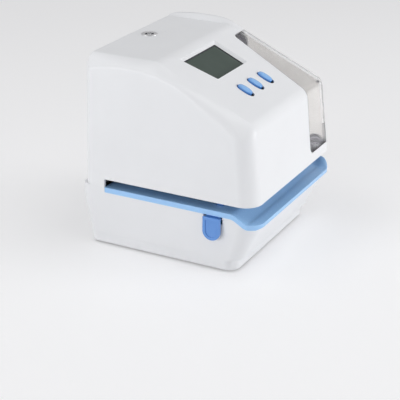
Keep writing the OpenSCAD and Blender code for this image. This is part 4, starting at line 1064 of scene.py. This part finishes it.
def moulded(name, colour, roughness, grain=900.0, depth=0.02, variation=0.03, **sockets):
    """Moulded plastic: faint clouds of colour, and a fine grain in its gloss and surface."""
    material, tree, shader = principled(name, colour, roughness, **sockets)
    clouds = noise(tree, 22.0, 4.0)
    dark, pale = tint(colour, 1 - variation), tint(colour, 1 + variation)
    tree.links.new(ramp(tree, clouds, 0.3, 0.7, dark, pale), shader.inputs["Base Color"])
    fine = noise(tree, grain, 2.0)
    tree.links.new(spread(tree, fine, roughness - 0.04, roughness + 0.04), shader.inputs["Roughness"])
    roughen(tree, shader, fine, 0.25, depth)
    return material


def metal(name, colour, roughness, stretch=(1, 1, 1), grain=600.0):
    """Bare metal with a drawn or tumbled grain."""
    material, tree, shader = principled(name, colour, roughness, Metallic=1.0)
    streaks = noise(tree, grain, 3.0, stretch)
    tree.links.new(ramp(tree, streaks, 0.3, 0.75, tint(colour, 0.86), tint(colour, 1.06)),
                   shader.inputs["Base Color"])
    tree.links.new(spread(tree, streaks, roughness - 0.08, roughness + 0.1), shader.inputs["Roughness"])
    roughen(tree, shader, streaks, 0.2, 0.02)
    return material


def clear(name):
    """Clear plastic with a faintly uneven gloss."""
    material, tree, shader = principled(name, (0.985, 0.99, 1.0), 0.04, IOR=1.49, Alpha=0.45)
    shader.inputs["Transmission Weight"].default_value = 1.0
    waves = noise(tree, 60.0, 2.0)
    tree.links.new(spread(tree, waves, 0.02, 0.07), shader.inputs["Roughness"])
    return material


def display_glass(name):
    """Grey-green display under glass, with a faint uneven haze in its colour and gloss."""
    material, tree, shader = principled(name, (0.055, 0.078, 0.066), 0.2, Specular_IOR_Level=0.25)
    haze = noise(tree, 35.0, 2.0)
    tree.links.new(ramp(tree, haze, 0.25, 0.75, (0.048, 0.070, 0.058), (0.062, 0.086, 0.073)),
                   shader.inputs["Base Color"])
    tree.links.new(spread(tree, haze, 0.08, 0.16), shader.inputs["Roughness"])
    return material


def button_plastic(name):
    """Glossy blue with painted shade and light: a deeper blue down the cap's sides as if in shade, a
    paler blue on its crown as if lit.
    """
    material, tree, shader = principled(name, (0.16, 0.40, 0.86), 0.16, Coat_Weight=0.5)
    place = tree.nodes.new("ShaderNodeTexCoord")
    height = tree.nodes.new("ShaderNodeVectorMath")
    height.operation = "DOT_PRODUCT"
    height.inputs[1].default_value = (0, -math.sin(SLOPE), math.cos(SLOPE))
    tree.links.new(place.outputs["Object"], height.inputs[0])
    level = (TOP_Z * math.cos(SLOPE) - BEND_Y * math.sin(SLOPE)) * MM
    above = tree.nodes.new("ShaderNodeMapRange")
    above.inputs["From Min"].default_value = level + 0.4 * MM
    above.inputs["From Max"].default_value = level + BTN_H * MM
    tree.links.new(height.outputs["Value"], above.inputs["Value"])
    # Painted shade on the cap's sides and painted light on its crown, set by height above the slope.
    side, top = (0.07, 0.27, 0.74), (0.26, 0.53, 0.93)
    tree.links.new(ramp(tree, above.outputs["Result"], 0.1, 0.95, side, top),
                   shader.inputs["Base Color"])
    fine = noise(tree, 700.0, 2.0)
    tree.links.new(spread(tree, fine, 0.12, 0.2), shader.inputs["Roughness"])
    return material


def circuit_board(name):
    """Solder mask over faint copper tracks."""
    material, tree, shader = principled(name, (0.03, 0.16, 0.08), 0.35)
    tracks = tree.nodes.new("ShaderNodeTexBrick")
    tracks.inputs["Scale"].default_value = 90.0
    tracks.inputs["Mortar Size"].default_value = 0.06
    tracks.inputs["Color1"].default_value = (0.02, 0.13, 0.06, 1)
    tracks.inputs["Color2"].default_value = (0.03, 0.17, 0.08, 1)
    tracks.inputs["Mortar"].default_value = (0.06, 0.26, 0.13, 1)
    place = tree.nodes.new("ShaderNodeTexCoord")
    tree.links.new(place.outputs["Object"], tracks.inputs["Vector"])
    tree.links.new(tracks.outputs["Color"], shader.inputs["Base Color"])
    fine = noise(tree, 500.0)
    tree.links.new(spread(tree, fine, 0.28, 0.42), shader.inputs["Roughness"])
    return material


def make_materials():
    return {
        "white_plastic": moulded("white_plastic", (0.86, 0.87, 0.89), 0.36, 1400.0, 0.012, 0.012),
        "blue_plastic": moulded("blue_plastic", (0.36, 0.62, 0.97), 0.26, 900.0, 0.008, 0.03,
                                Coat_Weight=0.2),
        "tab_plastic": moulded("tab_plastic", (0.12, 0.31, 0.74), 0.24, 900.0, 0.008, 0.03,
                               Coat_Weight=0.3),
        "button_plastic": button_plastic("button_plastic"),
        "clear_plastic": clear("clear_plastic"),
        "beige_plastic": moulded("beige_plastic", (0.83, 0.80, 0.77), 0.4, 700.0, 0.03, 0.03),
        # Near-black look of the plates of painted shade seen through the window.
        "shade_plate_plastic": moulded("shade_plate_plastic", (0.04, 0.034, 0.06), 0.5, 700.0, 0.03, 0.25),
        "grey_plastic": moulded("grey_plastic", (0.36, 0.34, 0.41), 0.4, 700.0, 0.03, 0.06),
        # Near-black look of the window's edge faces: painted shade of its seam.
        "seam_shade": moulded("seam_shade", (0.05, 0.045, 0.06), 0.6, 700.0, 0.03, 0.2),
        "dark_plastic": moulded("dark_plastic", (0.05, 0.048, 0.06), 0.45, 900.0, 0.03, 0.15),
        "lcd_glass": display_glass("lcd_glass"),
        "steel": metal("steel", (0.60, 0.61, 0.63), 0.38, (1, 1, 6)),
        "black_steel": metal("black_steel", (0.04, 0.04, 0.045), 0.5, (1, 1, 6)),
        "satin_nickel": metal("satin_nickel", (0.84, 0.84, 0.85), 0.42),
        "bright_steel": metal("bright_steel", (0.72, 0.73, 0.75), 0.2, (8, 1, 1)),
        "brass": metal("brass", (0.72, 0.55, 0.26), 0.28, (1, 1, 8)),
        "rubber": moulded("rubber", (0.035, 0.035, 0.04), 0.75, 500.0, 0.06, 0.2),
        "circuit_board": circuit_board("circuit_board"),
        "battery_sleeve": moulded("battery_sleeve", (0.05, 0.28, 0.12), 0.3, 300.0, 0.02, 0.1),
        "ink_ribbon": moulded("ink_ribbon", (0.03, 0.025, 0.08), 0.85, 2500.0, 0.05, 0.25),
        "spring_steel": metal("spring_steel", (0.66, 0.67, 0.7), 0.25, (1, 1, 1), 900.0),
        "cable": moulded("cable", (0.45, 0.47, 0.5), 0.5, 400.0, 0.02, 0.08),
        "lamp": moulded("lamp", (0.85, 0.85, 0.78), 0.2, 300.0, 0.01, 0.03),
    }


# ---- stage, lights and camera ----


def make_floor():
    """A wide pale floor."""
    reach = 9.0
    mesh = bpy.data.meshes.new("floor")
    mesh.from_pydata([(-reach, -reach, 0), (reach, -reach, 0), (reach, reach, 0), (-reach, reach, 0)],
                     [], [(0, 1, 2, 3)])
    floor = bpy.data.objects.new("floor", mesh)
    bpy.context.scene.collection.objects.link(floor)
    material, tree, shader = principled("floor_paint", (0.78, 0.78, 0.79), 0.6)
    haze = noise(tree, 1.2, 2.0)
    tree.links.new(ramp(tree, haze, 0.3, 0.7, (0.81, 0.81, 0.82), (0.84, 0.84, 0.85)),
                   shader.inputs["Base Color"])
    rays = tree.nodes.new("ShaderNodeLightPath")
    seen = rays.outputs["Is Camera Ray"]
    for kind in ("Is Glossy Ray", "Is Transmission Ray"):
        either = tree.nodes.new("ShaderNodeMath")
        either.operation = "MAXIMUM"
        tree.links.new(seen, either.inputs[0])
        tree.links.new(rays.outputs[kind], either.inputs[1])
        seen = either.outputs["Value"]
    shader.inputs["Emission Color"].default_value = (1, 1, 1, 1)
    tree.links.new(spread(tree, seen, 0.0, 0.2), shader.inputs["Emission Strength"])
    mesh.materials.append(material)


def area_light(name, azimuth, elevation, distance, size, power, aim=(0, 0, 0.1)):
    """Soft box seen from the object at an azimuth from +X towards +Y, and an elevation."""
    light = bpy.data.lights.new(name, "AREA")
    light.shape = "RECTANGLE"
    light.size, light.size_y = size
    light.energy = power
    lamp = bpy.data.objects.new(name, light)
    bpy.context.scene.collection.objects.link(lamp)
    a, e = math.radians(azimuth), math.radians(elevation)
    away = Vector((math.cos(e) * math.cos(a), math.cos(e) * math.sin(a), math.sin(e)))
    lamp.location = Vector(aim) + away * distance
    lamp.rotation_euler = away.to_track_quat("Z", "Y").to_euler()
    return lamp


def make_lights():
    world = bpy.data.worlds.new("studio")
    bpy.context.scene.world = world
    world.use_nodes = True
    background = world.node_tree.nodes["Background"]
    background.inputs["Color"].default_value = (0.47, 0.47, 0.475, 1)
    background.inputs["Strength"].default_value = 1.0
    area_light("key", 290, 6, 1.6, (0.9, 0.5), 9.6)
    area_light("left", 155, 7, 1.6, (0.7, 0.4), 6.8)
    area_light("front_sky", 275, 66, 1.6, (1.2, 0.9), 4.8)
    area_light("top_glow", 130, 62, 1.5, (0.9, 0.5), 2.6)


CAMERA_PLACE = (-0.97706, -0.48722, 0.49610)
CAMERA_TURN = (66.799, -0.635, -62.827)
CAMERA_LENS = 115.06
CAMERA_SENSOR = 36.0


def make_camera():
    camera = bpy.data.objects.new("camera", bpy.data.cameras.new("camera"))
    bpy.context.scene.collection.objects.link(camera)
    camera.location = CAMERA_PLACE
    camera.rotation_euler = Euler([math.radians(a) for a in CAMERA_TURN])
    camera.data.lens = CAMERA_LENS
    camera.data.sensor_width = CAMERA_SENSOR
    bpy.context.scene.camera = camera


MATERIALS = make_materials()


def main():
    for node, thing in frame["nodes"].items():
        thing.data.materials.clear()
        thing.data.materials.append(MATERIALS[slot_of(node)])
    make_cover()
    make_window()
    make_lock()
    make_shade_plates()
    make_base()
    make_table()
    for i, name in ((-1, "left_button"), (0, "middle_button"), (1, "right_button")):
        make_button(name, i)
    refine_solids()
    make_floor()
    make_lights()
    make_camera()
    bpy.context.scene.view_settings.view_transform = "Standard"


main()
